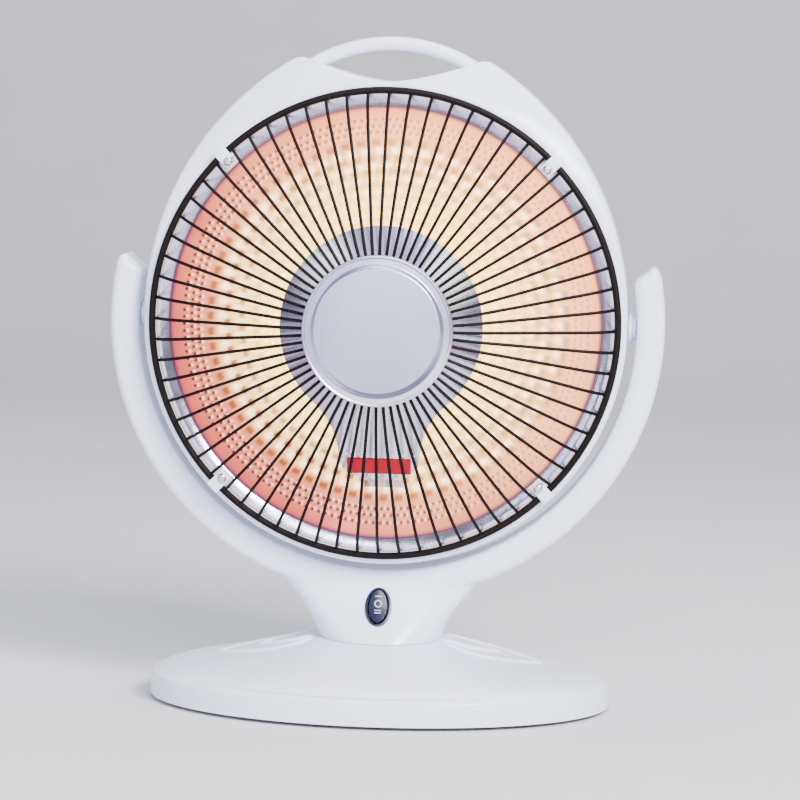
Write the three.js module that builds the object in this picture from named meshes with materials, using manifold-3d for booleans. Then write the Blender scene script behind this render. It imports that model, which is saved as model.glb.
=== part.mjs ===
// Parabolic room heater: a round reflector head with a wire guard, carried between the arms of a
// yoke that tilts the head and swivels on an oval weighted foot.
//
// Millimetres, +Z up, front of the heater towards -Y. The origin is the centre of the foot's
// underside, where the rubber feet touch the floor.

import * as THREE from 'three';
import { mergeVertices } from 'three/addons/utils/BufferGeometryUtils.js';
import Module from 'manifold-3d';

const wasm = await Module();
wasm.setup();

// ---------------------------------------------------------------- clearances
const GAP = 0.3; // between any two neighbouring pieces
const TURN_GAP = 0.4; // round a shaft that turns in its bore

// ---------------------------------------------------------------- foot
const BASE_WIDTH = 300;
const BASE_DEPTH = 204;
const BASE_WALL = 2.6;
const FOOT_HEIGHT = 2.5; // rubber feet below the rim
const RIM_RISE = 13; // upright wall of the rim
const SEAM_Z = 44; // underside of the neck
const PLATE_THICKNESS = 2;
const PLATE_RECESS = 0.6; // plate above the rim's lower edge
const WEIGHT_SHARE = 0.6; // weight's outline as a share of the foot's
const WEIGHT_THICKNESS = 7;
const LEAF_RISE = 0.9; // each raised leaf above the surface it lies on
const LOWER_LEAF = { reach: 107, halfWidth: 20 };
const UPPER_LEAF = { reach: 80, halfWidth: 11 };
const BASE_SCREW_SHARE = 0.72; // screws stand on an oval of this share of the foot's
const BASE_SCREW_ANGLES = [40, 140, 220, 320];
const BASE_SCREW_LENGTH = 12;
const FOOT_SHARE = 0.86; // feet stand on an oval of this share
const FOOT_ANGLES = [33, 147, 213, 327];
const FOOT_RADIUS = 9;
const FOOT_STEM = 3; // radius of the stem pressed through the plate
const FOOT_STEM_TOP = 2; // stem above the plate

// ---------------------------------------------------------------- tip-over switch
const TIP_X = -56; // to the left of the middle, behind the weight
const TIP_CLEAR = 1.6; // its housing behind the weight
const TIP_BOX = { width: 14, depth: 12, height: 13 };
const TIP_ROOF = 1.6; // housing above its pocket
const PLUNGER_RADIUS = 2.5;
const PLUNGER_COLLAR = 4; // radius of the collar that keeps it in
const PLUNGER_TRAVEL = 4;
const PLUNGER_NOSE = 0.7; // chamfer that meets the floor

// ---------------------------------------------------------------- cord inlet
const GLAND_X = 46; // to the right of the middle, in the back of the rim
const GLAND_Z = 10.6;
const GLAND_RADIUS = 4;
const GLAND_BORE = 3;
const GLAND_LIP = 2; // lips each side of the wall

// ---------------------------------------------------------------- head
const HEAD_WALL = 2.5;
const BEZEL_RADIUS = 155;
const BEZEL_WIDTH = 8.2; // white ring round the opening
const BEZEL_INNER = BEZEL_RADIUS - BEZEL_WIDTH;
const BEZEL_FRONT = 33; // front face ahead of the tilt axis
const SHOULDER_SPREAD = 60; // shoulder tips from the centre line
const SHOULDER_RISE = 14.8; // shoulder tips above the bezel's radius
const SHOULDER_HEIGHT = BEZEL_RADIUS + SHOULDER_RISE; // and above the tilt axis
const VALLEY_DIP = 0.5; // dip between the shoulders, inside the bezel's radius
const VALLEY_HEIGHT = BEZEL_RADIUS - VALLEY_DIP;
const CROWN_FALL = 21; // the face falls back by this much at the shoulder tips
const REAR_STRAIGHT = 12; // side wall behind the axis before the bowl begins
const REAR_BOWL = 64; // depth of the bowl behind that
const VENT_WIDTH = 4.5;
const VENT_LENGTH = 34;
const VENT_COUNT = 7; // slots in a row, one row above the middle and one below
const VENT_REACH = 36; // outermost slots from the centre line
const VENT_HEIGHT = 84; // rows above and below the middle

// ---------------------------------------------------------------- yoke
const SIDE_GAP = 6; // between the head and the arms
const ARM_WIDTH = 18;
const YOKE_INNER = BEZEL_RADIUS + SIDE_GAP;
const YOKE_OUTER = YOKE_INNER + ARM_WIDTH;
const NECK_RISE = 27; // arms' lowest point above the neck's underside
const AXIS_Z = SEAM_Z + NECK_RISE + YOKE_OUTER; // tilt axis above the floor
const YOKE_DEPTH = 40;
const YOKE_WALL = 2.5;
const YOKE_EDGE = 3; // rounding of its front and back edges
const ARM_TOP_OUTER = 40.5; // arm tops above the tilt axis, at the outer edge
const ARM_TOP_INNER = 30; // and at the inner edge
const NECK_RADIUS = 40.5;
const NECK_SPREAD = 66; // half width where the neck meets the arms
const NECK_BLEND = 13; // neck's blend reaches this far up the arms
const NECK_TOP_Z = SEAM_Z + NECK_RISE + NECK_BLEND;
const ARM_SCREW_ANGLE = 24; // below the tilt axis
const NECK_SCREW_X = 25;
const NECK_SCREW_DROP = 12; // below the blend's top
const YOKE_SCREW_SEAT = 15; // bearing face behind the split
const YOKE_SCREW_LENGTH = 24;

// ---------------------------------------------------------------- swivel
const SPIGOT_RADIUS = 15;
const SPIGOT_WALL = 6;
const SPIGOT_BORE = SPIGOT_RADIUS - SPIGOT_WALL;
const FLANGE_WIDTH = 5.5;
const SPIGOT_FLANGE = SPIGOT_RADIUS + FLANGE_WIDTH;
const SPIGOT_LIP = 2; // spigot below its retaining ring
const FLANGE_THICKNESS = 3;

// ---------------------------------------------------------------- switch
const SWITCH_WIDTH = 17.4;
const SWITCH_HEIGHT = 27;
const SWITCH_RISE = 22; // middle of the switch above the neck's underside
const SWITCH_Z = SEAM_Z + SWITCH_RISE;
const SWITCH_PROUD = 1.4;
const SWITCH_FLANGE = 3;
const SWITCH_RIM = 2; // bezel round the rocker
const SWITCH_BODY = 9; // body behind the flange
const SWITCH_WALL = 1.6; // body behind the rocker's pocket
const KEY_INSET = 0.9; // rocker inside the rim, each side
const KEY_DIP = 0.2; // draws the middle of its face in
const KEY_BACK = 3.2; // rocker's ends behind the switch's own face
const KEY_BELLY = 7; // and the bulge of its underside
const ROCKER_TURN = 9; // degrees each way
const ROCKER_PIVOT = 3.5; // rocker's pin below the bezel's face
const ROCKER_PIN = 1.2; // pin radius

// ---------------------------------------------------------------- handle
const HANDLE_RISE = 13.4; // top of the handle above the shoulder tips
const HANDLE_TOP = SHOULDER_HEIGHT + HANDLE_RISE;
const HANDLE_RADIUS = 104;
const HANDLE_THICK = 9;
const HANDLE_DEPTH = 13;
const HANDLE_BACK = 4; // rear face behind the axis
const HANDLE_SWEEP = 33; // degrees each side of the top

// ---------------------------------------------------------------- reflector
const DISH_DEPTH = 72;
const FLANGE_FLAT = 7.8; // flat flange inside the bezel's opening
const DISH_RADIUS = BEZEL_INNER - FLANGE_FLAT;
const FLANGE_LAP = 3.6; // flange held behind the bezel
const DISH_FLANGE = BEZEL_INNER + FLANGE_LAP;
const DISH_SHEET = 1.2;
const DISH_STEP = 3; // flange ahead of the bowl's edge

// ---------------------------------------------------------------- element
const SOCKET_RADIUS = 18;
const SOCKET_LENGTH = 24;
const SOCKET_WALL = 3;
const HOLE_CLEAR = 2; // dish's hole round the socket
const DISH_HOLE = SOCKET_RADIUS + HOLE_CLEAR;
const SOCKET_LAP = 6; // socket's flange behind the dish
const SOCKET_FLANGE = DISH_HOLE + SOCKET_LAP;
const FORMER_STEP = 1; // former's back end beyond the socket
const FORMER_BACK = SOCKET_RADIUS + FORMER_STEP;
const FORMER_FRONT = 13;
const FORMER_LENGTH = 62;
const COLLAR_HEIGHT = 4.5; // collars stand this far above the wire's seat
const COLLAR_WIDTH = 3;
const COIL_LOOPS = 6;
const COIL_WIRE = 1.6; // radius of the wound wire
const LEAD_BEND = 2.4; // bend radius where the wire leaves its last loop
const LEAD_ROOM = 4 * COIL_WIRE; // free length of the wire between a collar and its bend

// ---------------------------------------------------------------- shield
const SHIELD_RADIUS = 65.3;
const SHIELD_AHEAD = 26; // ahead of the bezel's face
const SHIELD_SHEET = 1.2;
const STEM_WIDTH = 52;
const STEM_FILLET = 18;
const STEM_REACH = 30.7; // stem below the shield's disc
const STEM_END = SHIELD_RADIUS + STEM_REACH;
const STEM_SET_BACK = 13; // stem's lower end behind the disc
const LEG_WIDTH = 26;
const LEG_FLANGE = 10;
const BAND_WIDTH = 41;
const BAND_HEIGHT = 10;
const BAND_SHEET = 1;
const BAND_MARGIN = 1.2; // band above the stem's end

// ---------------------------------------------------------------- guard
const WIRE_COUNT = 68;
const WIRE_RADIUS = 1;
const RING_LAP = 2.2; // ring's middle outside the bezel's opening
const RING_RADIUS = BEZEL_INNER + RING_LAP;
const RING_SECTION = 2; // half the width of the ring's own rod
const GUARD_DOME = 53; // wires' front ahead of the ring
const KINK_INSET = 13; // kink inside the ring
const KINK_AHEAD = 14;
const DISC_RADIUS = 48.5;
const DISC_HEIGHT = 9;
const DISC_SHEET = 1.2;
const DISC_BEVEL = 5;
const HUB_INSET = 10.5; // inner ring inside the disc's edge
const HUB_RADIUS = DISC_RADIUS - HUB_INSET;
const HUB_HALF = 1.8; // half the width of the inner ring's square rod

// ---------------------------------------------------------------- clips and screws
const CLIP_ANGLES = [45, 135, 225, 315];
const CLIP_WIDTH = 8.6;
const CLIP_THICK = 2;
const SCREW_INSET = 3.4; // screw circle inside the bezel's opening
const CLIP_SCREW_R = BEZEL_INNER - SCREW_INSET;
const CLIP_INSIDE = 3.4; // clip inside the screw circle
const CLIP_MARGIN = 1.5; // clip short of the bezel's outer edge
const LUG_WIDTH = 12;
const LUG_INSIDE = 4; // lug inside the screw circle
const SCREW_RADIUS = 1.5;
const SCREW_HEAD = 3;
const SCREW_HEAD_THICK = 1.8;
const SCREW_END = 3; // clip screws behind the dish's flange
const BOSS_WALL = 2.4;

// ---------------------------------------------------------------- pivot
const PIN_RADIUS = 4.5;
const STEP_WIDTH = 6; // washer face against the head
const HUB_STEP_RADIUS = PIN_RADIUS + STEP_WIDTH;
const NOSE_WIDTH = 3.5; // washer face against the arm
const HUB_NOSE_RADIUS = PIN_RADIUS + NOSE_WIDTH;
const PIN_FLANGE = HUB_NOSE_RADIUS; // flange inside the head
const CAP_WIDTH = 2.5;
const PIN_CAP = PIN_RADIUS + CAP_WIDTH; // flange inside the yoke
const PIN_FLANGE_THICK = 2.5;

// ---------------------------------------------------------------- facets
const BASE_SEGMENTS = 36;
const HEAD_SEGMENTS = 36;
const HIDDEN_SEGMENTS = 24; // round surfaces inside the shells
const ARM_STEPS = 16; // half the facets along each arc of the arms
const COLLAR_SIDES = 18; // swivel's bore and flanges
const BORE_SIDES = 10; // bores, and the pins in them
const ROD_SIDES = 10; // other small round pieces
const SCREW_SIDES = 8;
const WIRE_SIDES = 3;
const COIL_SIDES = 6;
const LOOP_STEPS = 24; // steps round one loop of the wound wire
const FAR = 300; // beyond every surface, for cuts that run right through

// ---------------------------------------------------------------- materials
const white = () => new THREE.MeshStandardMaterial({ color: 0xe4e7f2, roughness: 0.32, metalness: 0 });
const black = () => new THREE.MeshStandardMaterial({ color: 0x17131c, roughness: 0.45, metalness: 0.1 });
const navy = () => new THREE.MeshStandardMaterial({ color: 0x1d2146, roughness: 0.35, metalness: 0 });
const steel = () => new THREE.MeshStandardMaterial({ color: 0xb9b9c0, roughness: 0.38, metalness: 0.9 });
const chrome = () => new THREE.MeshStandardMaterial({ color: 0xd5d6e0, roughness: 0.12, metalness: 1 });
const gold = () => new THREE.MeshStandardMaterial({ color: 0xf0b98a, roughness: 0.3, metalness: 0.9 });
const ceramic = () => new THREE.MeshStandardMaterial({ color: 0xe9e2d6, roughness: 0.7, metalness: 0 });
const glow = () => new THREE.MeshStandardMaterial({ color: 0xff8a2a, roughness: 0.6, metalness: 0.3 });
const red = () => new THREE.MeshStandardMaterial({ color: 0xe03a3e, roughness: 0.4, metalness: 0 });
const rubber = () => new THREE.MeshStandardMaterial({ color: 0x232327, roughness: 0.85, metalness: 0 });
const iron = () => new THREE.MeshStandardMaterial({ color: 0x3b3c40, roughness: 0.75, metalness: 0.6 });

// ---------------------------------------------------------------- geometry helpers
const rad = THREE.MathUtils.degToRad;
const lerp = THREE.MathUtils.lerp;

/** Numbers from a to b in equal steps, both ends included. */
function spread(a, b, steps) {
  return Array.from({ length: steps + 1 }, (_, i) => lerp(a, b, i / steps));
}

/** A closed geometry as a solid that can be joined and cut. */
function solid(geometry) {
  const bare = geometry.clone();
  bare.deleteAttribute('normal');
  bare.deleteAttribute('uv');
  const merged = mergeVertices(bare, 1e-4);
  const index = merged.index.array;
  const kept = [];
  for (let i = 0; i < index.length; i += 3) {
    const [a, b, c] = [index[i], index[i + 1], index[i + 2]];
    if (a !== b && b !== c && c !== a) {
      kept.push(a, b, c);
    }
  }
  return new wasm.Manifold(new wasm.Mesh({
    numProp: 3,
    vertProperties: new Float32Array(merged.attributes.position.array),
    triVerts: new Uint32Array(kept),
  }));
}

/** A solid as a geometry again. */
function geometryOf(body) {
  const mesh = body.getMesh();
  const geometry = new THREE.BufferGeometry();
  geometry.setAttribute('position', new THREE.BufferAttribute(mesh.vertProperties, 3));
  geometry.setIndex(new THREE.BufferAttribute(mesh.triVerts, 1));
  geometry.computeVertexNormals();
  return geometry;
}

/** Twice the area inside a closed outline, positive when it runs anticlockwise. */
function turn(points) {
  return points.reduce((sum, p, i) => {
    const q = points[(i + 1) % points.length];
    return sum + p.x * q.y - q.x * p.y;
  }, 0);
}

/** A profile of [radius, height] pairs turned about the Y axis, whichever way it is listed. */
function turned(pairs, segments) {
  const points = pairs.map(([r, h]) => new THREE.Vector2(Math.max(r, 0), h));
  const ordered = turn(points) > 0 ? points : points.reverse();
  const onAxis = ordered.some((p) => p.x === 0);
  const start = onAxis ? axisStart(ordered) : ordered;
  const closed = onAxis ? start : [...start, start[0]];
  return new THREE.LatheGeometry(closed, segments);
}

/** Rolls an outline so that it starts and ends with its points on the axis. */
function axisStart(points) {
  const count = points.length;
  const first = points.findIndex((p, i) => p.x === 0 && points[(i + count - 1) % count].x === 0);
  return [...points.slice(first), ...points.slice(0, first)];
}

/** The same about the vertical axis: heights run up +Z. */
function turnedUp(pairs, segments) {
  return turned(pairs, segments).rotateX(Math.PI / 2);
}

/** The same about the tilt axis: heights run along +X. */
function turnedAcross(pairs, segments) {
  return turned(pairs, segments).rotateZ(-Math.PI / 2);
}

/** A rod of one radius along Y, from y0 to y1, centred on x and z. */
function rodY(radius, y0, y1, x = 0, z = 0, segments = ROD_SIDES) {
  return turned([[0, y0], [radius, y0], [radius, y1], [0, y1]], segments).translate(x, 0, z);
}

/** An upright rod from z0 to z1, centred on x and y. */
function rodUp(radius, z0, z1, x = 0, y = 0, segments = ROD_SIDES) {
  return turnedUp([[0, z0], [radius, z0], [radius, z1], [0, z1]], segments).translate(x, y, 0);
}

/** A box given by its two corners. */
function block(x0, x1, y0, y1, z0, z1) {
  const box = new THREE.BoxGeometry(x1 - x0, y1 - y0, z1 - z0);
  return box.translate((x0 + x1) / 2, (y0 + y1) / 2, (z0 + z1) / 2);
}

/** A shape drawn in the X-Z plane, made solid from yFront back to yBack. */
function frontal(shape, yFront, yBack, edge = 0, curveSegments = 10) {
  const geometry = new THREE.ExtrudeGeometry(shape, {
    depth: yBack - yFront - 2 * edge,
    bevelEnabled: edge > 0,
    bevelThickness: edge,
    bevelSize: edge,
    bevelOffset: -edge,
    bevelSegments: 1,
    curveSegments,
  });
  return geometry.rotateX(Math.PI / 2).translate(0, yBack - edge, 0);
}

/** A shape drawn in the Y-Z plane, made solid between x0 and x1. */
function sideways(shape, x0, x1) {
  const geometry = new THREE.ExtrudeGeometry(shape, { depth: x1 - x0, bevelEnabled: false });
  return geometry.rotateZ(Math.PI / 2).rotateY(Math.PI / 2).translate(x0, 0, 0);
}

/** A plan drawn in the X-Y plane, made solid from z0 up to z1. */
function upright(shape, z0, z1) {
  const geometry = new THREE.ExtrudeGeometry(shape, {
    depth: z1 - z0,
    bevelEnabled: false,
    curveSegments: 6,
  });
  return geometry.translate(0, 0, z0);
}

/** A bent sheet: a line of points with a thickness on both sides of it. */
function sheetShape(points, thickness) {
  const half = thickness / 2;
  const normals = points.slice(1).map((p, i) => {
    const along = p.clone().sub(points[i]).normalize();
    return new THREE.Vector2(-along.y, along.x);
  });
  const offset = (side) => points.map((p, i) => {
    const before = normals[Math.max(i - 1, 0)];
    const after = normals[Math.min(i, normals.length - 1)];
    const mitre = before.clone().add(after).normalize();
    return p.clone().addScaledVector(mitre, side * half / mitre.dot(after));
  });
  return new THREE.Shape([...offset(1), ...offset(-1).reverse()]);
}

/** An oval or polygon outline round the origin. */
function ovalShape(halfWidth, halfHeight, sides) {
  const points = spread(0, 2 * Math.PI, sides).slice(0, -1);
  return new THREE.Shape(points.map((a) => (
    new THREE.Vector2(halfWidth * Math.cos(a), halfHeight * Math.sin(a))
  )));
}

/** A path through exact points, so that a tube has a ring at each of them. */
class PointPath extends THREE.Curve {
  constructor(points) {
    super();
    this.points = points;
  }

  getPoint(t, target = new THREE.Vector3()) {
    const last = this.points.length - 1;
    const place = Math.min(t, 1) * last;
    const i = Math.min(Math.floor(place), last - 1);
    return target.lerpVectors(this.points[i], this.points[i + 1], place - i);
  }

  getPointAt(u, target) {
    return this.getPoint(u, target);
  }

  getTangentAt(u, target = new THREE.Vector3()) {
    const last = this.points.length - 1;
    const i = Math.round(u * last);
    const before = this.points[Math.max(i, 1)].clone().sub(this.points[Math.max(i - 1, 0)]);
    const next = Math.min(i + 1, last);
    const after = this.points[next].clone().sub(this.points[next - 1]);
    return target.copy(before.normalize().add(after.normalize()).normalize());
  }
}

/** A tube of a given section with a ring at each point of its path. */
function tube(points, section) {
  return new THREE.ExtrudeGeometry(section, {
    steps: points.length - 1,
    extrudePath: new PointPath(points),
  });
}

/** Adds a list of solids together. */
function joined(bodies) {
  return bodies.reduce((whole, body) => whole.add(body));
}

/** Cuts a list of solids away. */
function without(body, cuts) {
  return cuts.reduce((rest, cut) => rest.subtract(cut), body);
}

/** The named mesh of a solid or a geometry. */
function piece(name, shape, material) {
  const geometry = shape.isBufferGeometry ? shape : geometryOf(shape);
  const mesh = new THREE.Mesh(geometry, material);
  mesh.name = name;
  return mesh;
}

// ---------------------------------------------------------------- screws
/** A screw's own form along Y: its head towards -Y, its bearing face at y = 0. */
function screwBlank(length) {
  return solid(turned([
    [0, -SCREW_HEAD_THICK],
    [SCREW_HEAD * 0.7, -SCREW_HEAD_THICK],
    [SCREW_HEAD, -SCREW_HEAD_THICK * 0.45],
    [SCREW_HEAD, 0],
    [SCREW_RADIUS, 0],
    [SCREW_RADIUS, length],
    [0, length],
  ], SCREW_SIDES));
}

/** The same with a driver's slot in its head. */
function slottedScrew(length) {
  const slot = SCREW_HEAD * 0.16;
  const floor = -SCREW_HEAD_THICK * 0.5;
  return screwBlank(length).subtract(solid(block(-FAR, FAR, -FAR, floor, -slot, slot)));
}

// ---------------------------------------------------------------- foot
const RIM_TOP_Z = FOOT_HEIGHT + RIM_RISE;
const PAD_RADIUS = NECK_RADIUS + 1.5;

/** Height of the foot's dome at a radius, from the neck's pad to the rim. */
function domeHeight(radius) {
  const share = THREE.MathUtils.clamp((radius - PAD_RADIUS) / (BASE_WIDTH / 2 - PAD_RADIUS), 0, 1);
  const slope = 1 - share;
  const shoulder = Math.sqrt(Math.max(1 - share ** 8, 0));
  const rise = SEAM_Z - GAP - RIM_TOP_Z;
  return RIM_TOP_Z + rise * (0.62 * slope ** 1.55 + 0.1 * slope + 0.28 * shoulder);
}

/** Turns round foot pieces oval: circles at the neck stay round, the rim takes the foot's depth. */
function ovalise(geometry) {
  const place = geometry.attributes.position;
  for (let i = 0; i < place.count; i += 1) {
    const radius = Math.hypot(place.getX(i), place.getY(i));
    place.setY(i, place.getY(i) * depthShare(radius));
  }
  return geometry;
}

/** How far the oval is drawn in at a radius. */
function depthShare(radius) {
  const share = (radius - PAD_RADIUS) / (BASE_WIDTH / 2 - PAD_RADIUS);
  return lerp(1, BASE_DEPTH / BASE_WIDTH, THREE.MathUtils.clamp(share, 0, 1));
}

/** The foot as one filled body, drawn in by an inset and raised by a lift. */
function footBody(inset, floor, lift = 0) {
  const rim = BASE_WIDTH / 2;
  const edge = inset > 0 ? [rim * 0.97] : [rim * 0.95, rim * 0.985];
  const radii = [...spread(PAD_RADIUS, rim * 0.88, inset > 0 ? 3 : 4), ...edge, rim];
  const top = radii.map((r) => [r - (r > PAD_RADIUS ? inset : 0), domeHeight(r) - inset + lift]);
  const crown = [0, SEAM_Z - GAP - inset + lift];
  const outline = [[0, floor], [rim - inset, floor], ...top.reverse(), crown];
  return solid(ovalise(turnedUp(outline, inset > 0 ? HIDDEN_SEGMENTS : BASE_SEGMENTS)));
}

/** Plan of one raised leaf from the neck outwards, to one side. */
function leafShape({ reach, halfWidth }, side) {
  const root = side * NECK_RADIUS * 0.9;
  const tip = side * reach;
  const middle = (root + tip) / 2;
  const shape = new THREE.Shape();
  shape.moveTo(root, 0);
  shape.bezierCurveTo(root, -halfWidth, middle, -halfWidth * 1.5, tip, 0);
  shape.bezierCurveTo(middle, halfWidth * 1.5, root, halfWidth, root, 0);
  return shape;
}

/** A raised leaf as a solid that rises a given height above the dome. */
function raisedLeaf(leaf, side, rise) {
  const column = solid(upright(leafShape(leaf, side), RIM_TOP_Z - RIM_RISE / 2, SEAM_Z + RIM_RISE));
  return column.intersect(footBody(0, FOOT_HEIGHT, rise));
}

/** A place on the oval at a share of its size and an angle. */
function onOval(share, angle) {
  const x = share * BASE_WIDTH / 2 * Math.cos(rad(angle));
  const y = share * BASE_DEPTH / 2 * Math.sin(rad(angle));
  return [x, y];
}

const PLATE_Z = FOOT_HEIGHT + PLATE_RECESS;
const PLATE_TOP_Z = PLATE_Z + PLATE_THICKNESS;
const FLOOR_Z = PLATE_TOP_Z + GAP; // where pieces stand on the plate
const BASE_SCREW_AT = BASE_SCREW_ANGLES.map((angle) => onOval(BASE_SCREW_SHARE, angle));
const FOOT_AT = FOOT_ANGLES.map((angle) => onOval(FOOT_SHARE, angle));

/** Back edge of the weight at a distance from the middle. */
function weightBack(x) {
  const rim = WEIGHT_SHARE * BASE_WIDTH / 2;
  return rim * depthShare(rim) * Math.sqrt(1 - (x / rim) ** 2);
}

const TIP_Y = weightBack(Math.abs(TIP_X) - TIP_BOX.width / 2) + TIP_CLEAR + TIP_BOX.depth / 2;
const TIP_AT = [TIP_X, TIP_Y];
const GLAND_Y = BASE_DEPTH / 2 * Math.sqrt(1 - (2 * GLAND_X / BASE_WIDTH) ** 2);

function baseCover() {
  const outer = footBody(0, FOOT_HEIGHT);
  const inner = footBody(BASE_WALL, FOOT_HEIGHT - BASE_WALL);
  const leaves = [-1, 1].flatMap((side) => [
    raisedLeaf(LOWER_LEAF, side, LEAF_RISE),
    raisedLeaf(UPPER_LEAF, side, 2 * LEAF_RISE),
  ]);
  const clear = solid(rodUp(PAD_RADIUS + GAP, SEAM_Z - GAP, SEAM_Z + RIM_RISE, 0, 0, BASE_SEGMENTS));
  const raised = joined([outer, ...leaves]).subtract(clear);
  const bosses = BASE_SCREW_AT.map(([x, y]) => (
    solid(rodUp(SCREW_RADIUS + BOSS_WALL, FLOOR_Z, SEAM_Z, x, y)).intersect(outer)
  ));
  const holes = BASE_SCREW_AT.map(([x, y]) => (
    solid(rodUp(SCREW_RADIUS + GAP, 0, PLATE_TOP_Z + BASE_SCREW_LENGTH + 1, x, y))
  ));
  const spigot = solid(rodUp(SPIGOT_RADIUS + TURN_GAP, 0, FAR, 0, 0, COLLAR_SIDES));
  const gland = solid(glandRod(GLAND_RADIUS + GAP, -BASE_WALL * 3, BASE_WALL * 3));
  return without(joined([raised.subtract(inner), ...bosses]), [...holes, spigot, gland]);
}

/** A rod through the rim where the cord enters, square to the rim. */
function glandRod(radius, y0, y1) {
  return glandPlace(rodY(radius, y0, y1, 0, 0, BORE_SIDES));
}

/** Sets a shape built at the origin into the rim at the cord inlet. */
function glandPlace(geometry) {
  const slope = GLAND_X / (BASE_WIDTH / 2) ** 2 / (GLAND_Y / (BASE_DEPTH / 2) ** 2);
  return geometry.rotateZ(-Math.atan(slope)).translate(GLAND_X, GLAND_Y, GLAND_Z);
}

function cordGland() {
  const wall = BASE_WALL + 2 * GAP;
  const lip = GLAND_RADIUS + GLAND_LIP / 2;
  return glandPlace(turned([
    [GLAND_BORE, GLAND_LIP],
    [GLAND_RADIUS, GLAND_LIP],
    [lip, GAP],
    [GLAND_RADIUS, GAP],
    [GLAND_RADIUS, -wall],
    [lip, -wall],
    [lip, -wall - GLAND_LIP],
    [GLAND_BORE, -wall - GLAND_LIP],
  ], BORE_SIDES));
}

function basePlate() {
  const rim = BASE_WIDTH / 2 - BASE_WALL - GAP;
  const disc = solid(ovalise(turnedUp([
    [0, PLATE_Z], [rim, PLATE_Z], [rim, PLATE_TOP_Z], [0, PLATE_TOP_Z],
  ], HIDDEN_SEGMENTS)));
  const hole = (radius, [x, y]) => solid(rodUp(radius, 0, FAR, x, y, SCREW_SIDES));
  const screws = BASE_SCREW_AT.map((at) => hole(SCREW_RADIUS + GAP, at));
  const feet = FOOT_AT.map((at) => hole(FOOT_STEM + GAP, at));
  const tip = solid(rodUp(PLUNGER_RADIUS + TURN_GAP, 0, FAR, ...TIP_AT));
  return without(disc, [...screws, ...feet, tip]);
}

function baseWeight() {
  const rim = WEIGHT_SHARE * BASE_WIDTH / 2;
  const bore = SPIGOT_FLANGE + 6;
  const top = FLOOR_Z + WEIGHT_THICKNESS;
  return ovalise(turnedUp([
    [bore, FLOOR_Z], [rim, FLOOR_Z], [rim, top], [bore, top],
  ], HIDDEN_SEGMENTS));
}

function foot([x, y]) {
  const shoulder = PLATE_Z - GAP;
  const top = FLOOR_Z + FOOT_STEM_TOP;
  return turnedUp([
    [0, 0],
    [FOOT_RADIUS * 0.93, 0],
    [FOOT_RADIUS, shoulder],
    [FOOT_STEM, shoulder],
    [FOOT_STEM, top],
    [0, top],
  ], ROD_SIDES).translate(x, y, 0);
}

/** A screw from below the plate up into the cover's boss. */
function baseScrew([x, y]) {
  return screwBlank(BASE_SCREW_LENGTH).rotate([90, 0, 0]).translate([x, y, PLATE_Z - GAP]);
}

function tipSwitchBody() {
  const [x, y] = TIP_AT;
  const [dx, dy] = [TIP_BOX.width / 2, TIP_BOX.depth / 2];
  const top = FLOOR_Z + TIP_BOX.height;
  const body = solid(block(x - dx, x + dx, y - dy, y + dy, FLOOR_Z, top));
  return body.subtract(solid(rodUp(PLUNGER_COLLAR + TURN_GAP, 0, top - TIP_ROOF, x, y)));
}

function tipPlunger() {
  const collar = FLOOR_Z + PLUNGER_TRAVEL + GAP;
  const top = collar + PLUNGER_RADIUS * 0.8;
  return turnedUp([
    [0, 0], [PLUNGER_RADIUS - PLUNGER_NOSE, 0], [PLUNGER_RADIUS, PLUNGER_NOSE], [PLUNGER_RADIUS, collar],
    [PLUNGER_COLLAR, collar], [PLUNGER_COLLAR, top], [0, top],
  ], ROD_SIDES).translate(TIP_AT[0], TIP_AT[1], 0);
}

// ---------------------------------------------------------------- yoke
const YOKE_HALF = YOKE_DEPTH / 2;
const NECK_ROOT_Z = AXIS_Z - YOKE_INNER - 2; // the neck ends inside the arms

/** Share of the neck's height, from the seam up to the arms. */
function neckShare(z) {
  return THREE.MathUtils.clamp((z - SEAM_Z) / (NECK_TOP_Z - SEAM_Z), 0, 1);
}

function neckHalfWidth(z) {
  return lerp(NECK_RADIUS, NECK_SPREAD, neckShare(z) ** 1.5);
}

function neckHalfDepth(z) {
  return lerp(YOKE_HALF, NECK_RADIUS, (1 - neckShare(z)) ** 1.5);
}

/** Front view of the arms: a crescent with slanted tops. */
function crescent(inset) {
  const outer = YOKE_OUTER - inset;
  const inner = YOKE_INNER + inset;
  const outerTop = Math.asin((ARM_TOP_OUTER - inset) / outer);
  const innerTop = Math.asin((ARM_TOP_INNER - inset) / inner);
  const shape = new THREE.Shape();
  shape.absarc(0, 0, outer, Math.PI - outerTop, 2 * Math.PI + outerTop, false);
  shape.absarc(0, 0, inner, innerTop, Math.PI - innerTop, true);
  return shape;
}

/** The neck as one filled body: round at the seam, drawn out flat to meet the arms. */
function neckBody(inset) {
  const floor = SEAM_Z + inset;
  const heights = [...spread(floor, NECK_TOP_Z, inset > 0 ? 3 : 5), NECK_ROOT_Z - inset];
  const side = heights.map((z) => [neckHalfWidth(z) - inset, z]);
  const facets = inset > 0 ? Math.round(HIDDEN_SEGMENTS * 2 / 3) : BASE_SEGMENTS - 8;
  const geometry = turnedUp([[0, floor], ...side, [0, NECK_ROOT_Z - inset]], facets);
  const place = geometry.attributes.position;
  for (let i = 0; i < place.count; i += 1) {
    const z = place.getZ(i);
    const share = (neckHalfDepth(z) - inset) / (neckHalfWidth(z) - inset);
    place.setY(i, place.getY(i) * share);
  }
  return solid(geometry);
}

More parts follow.
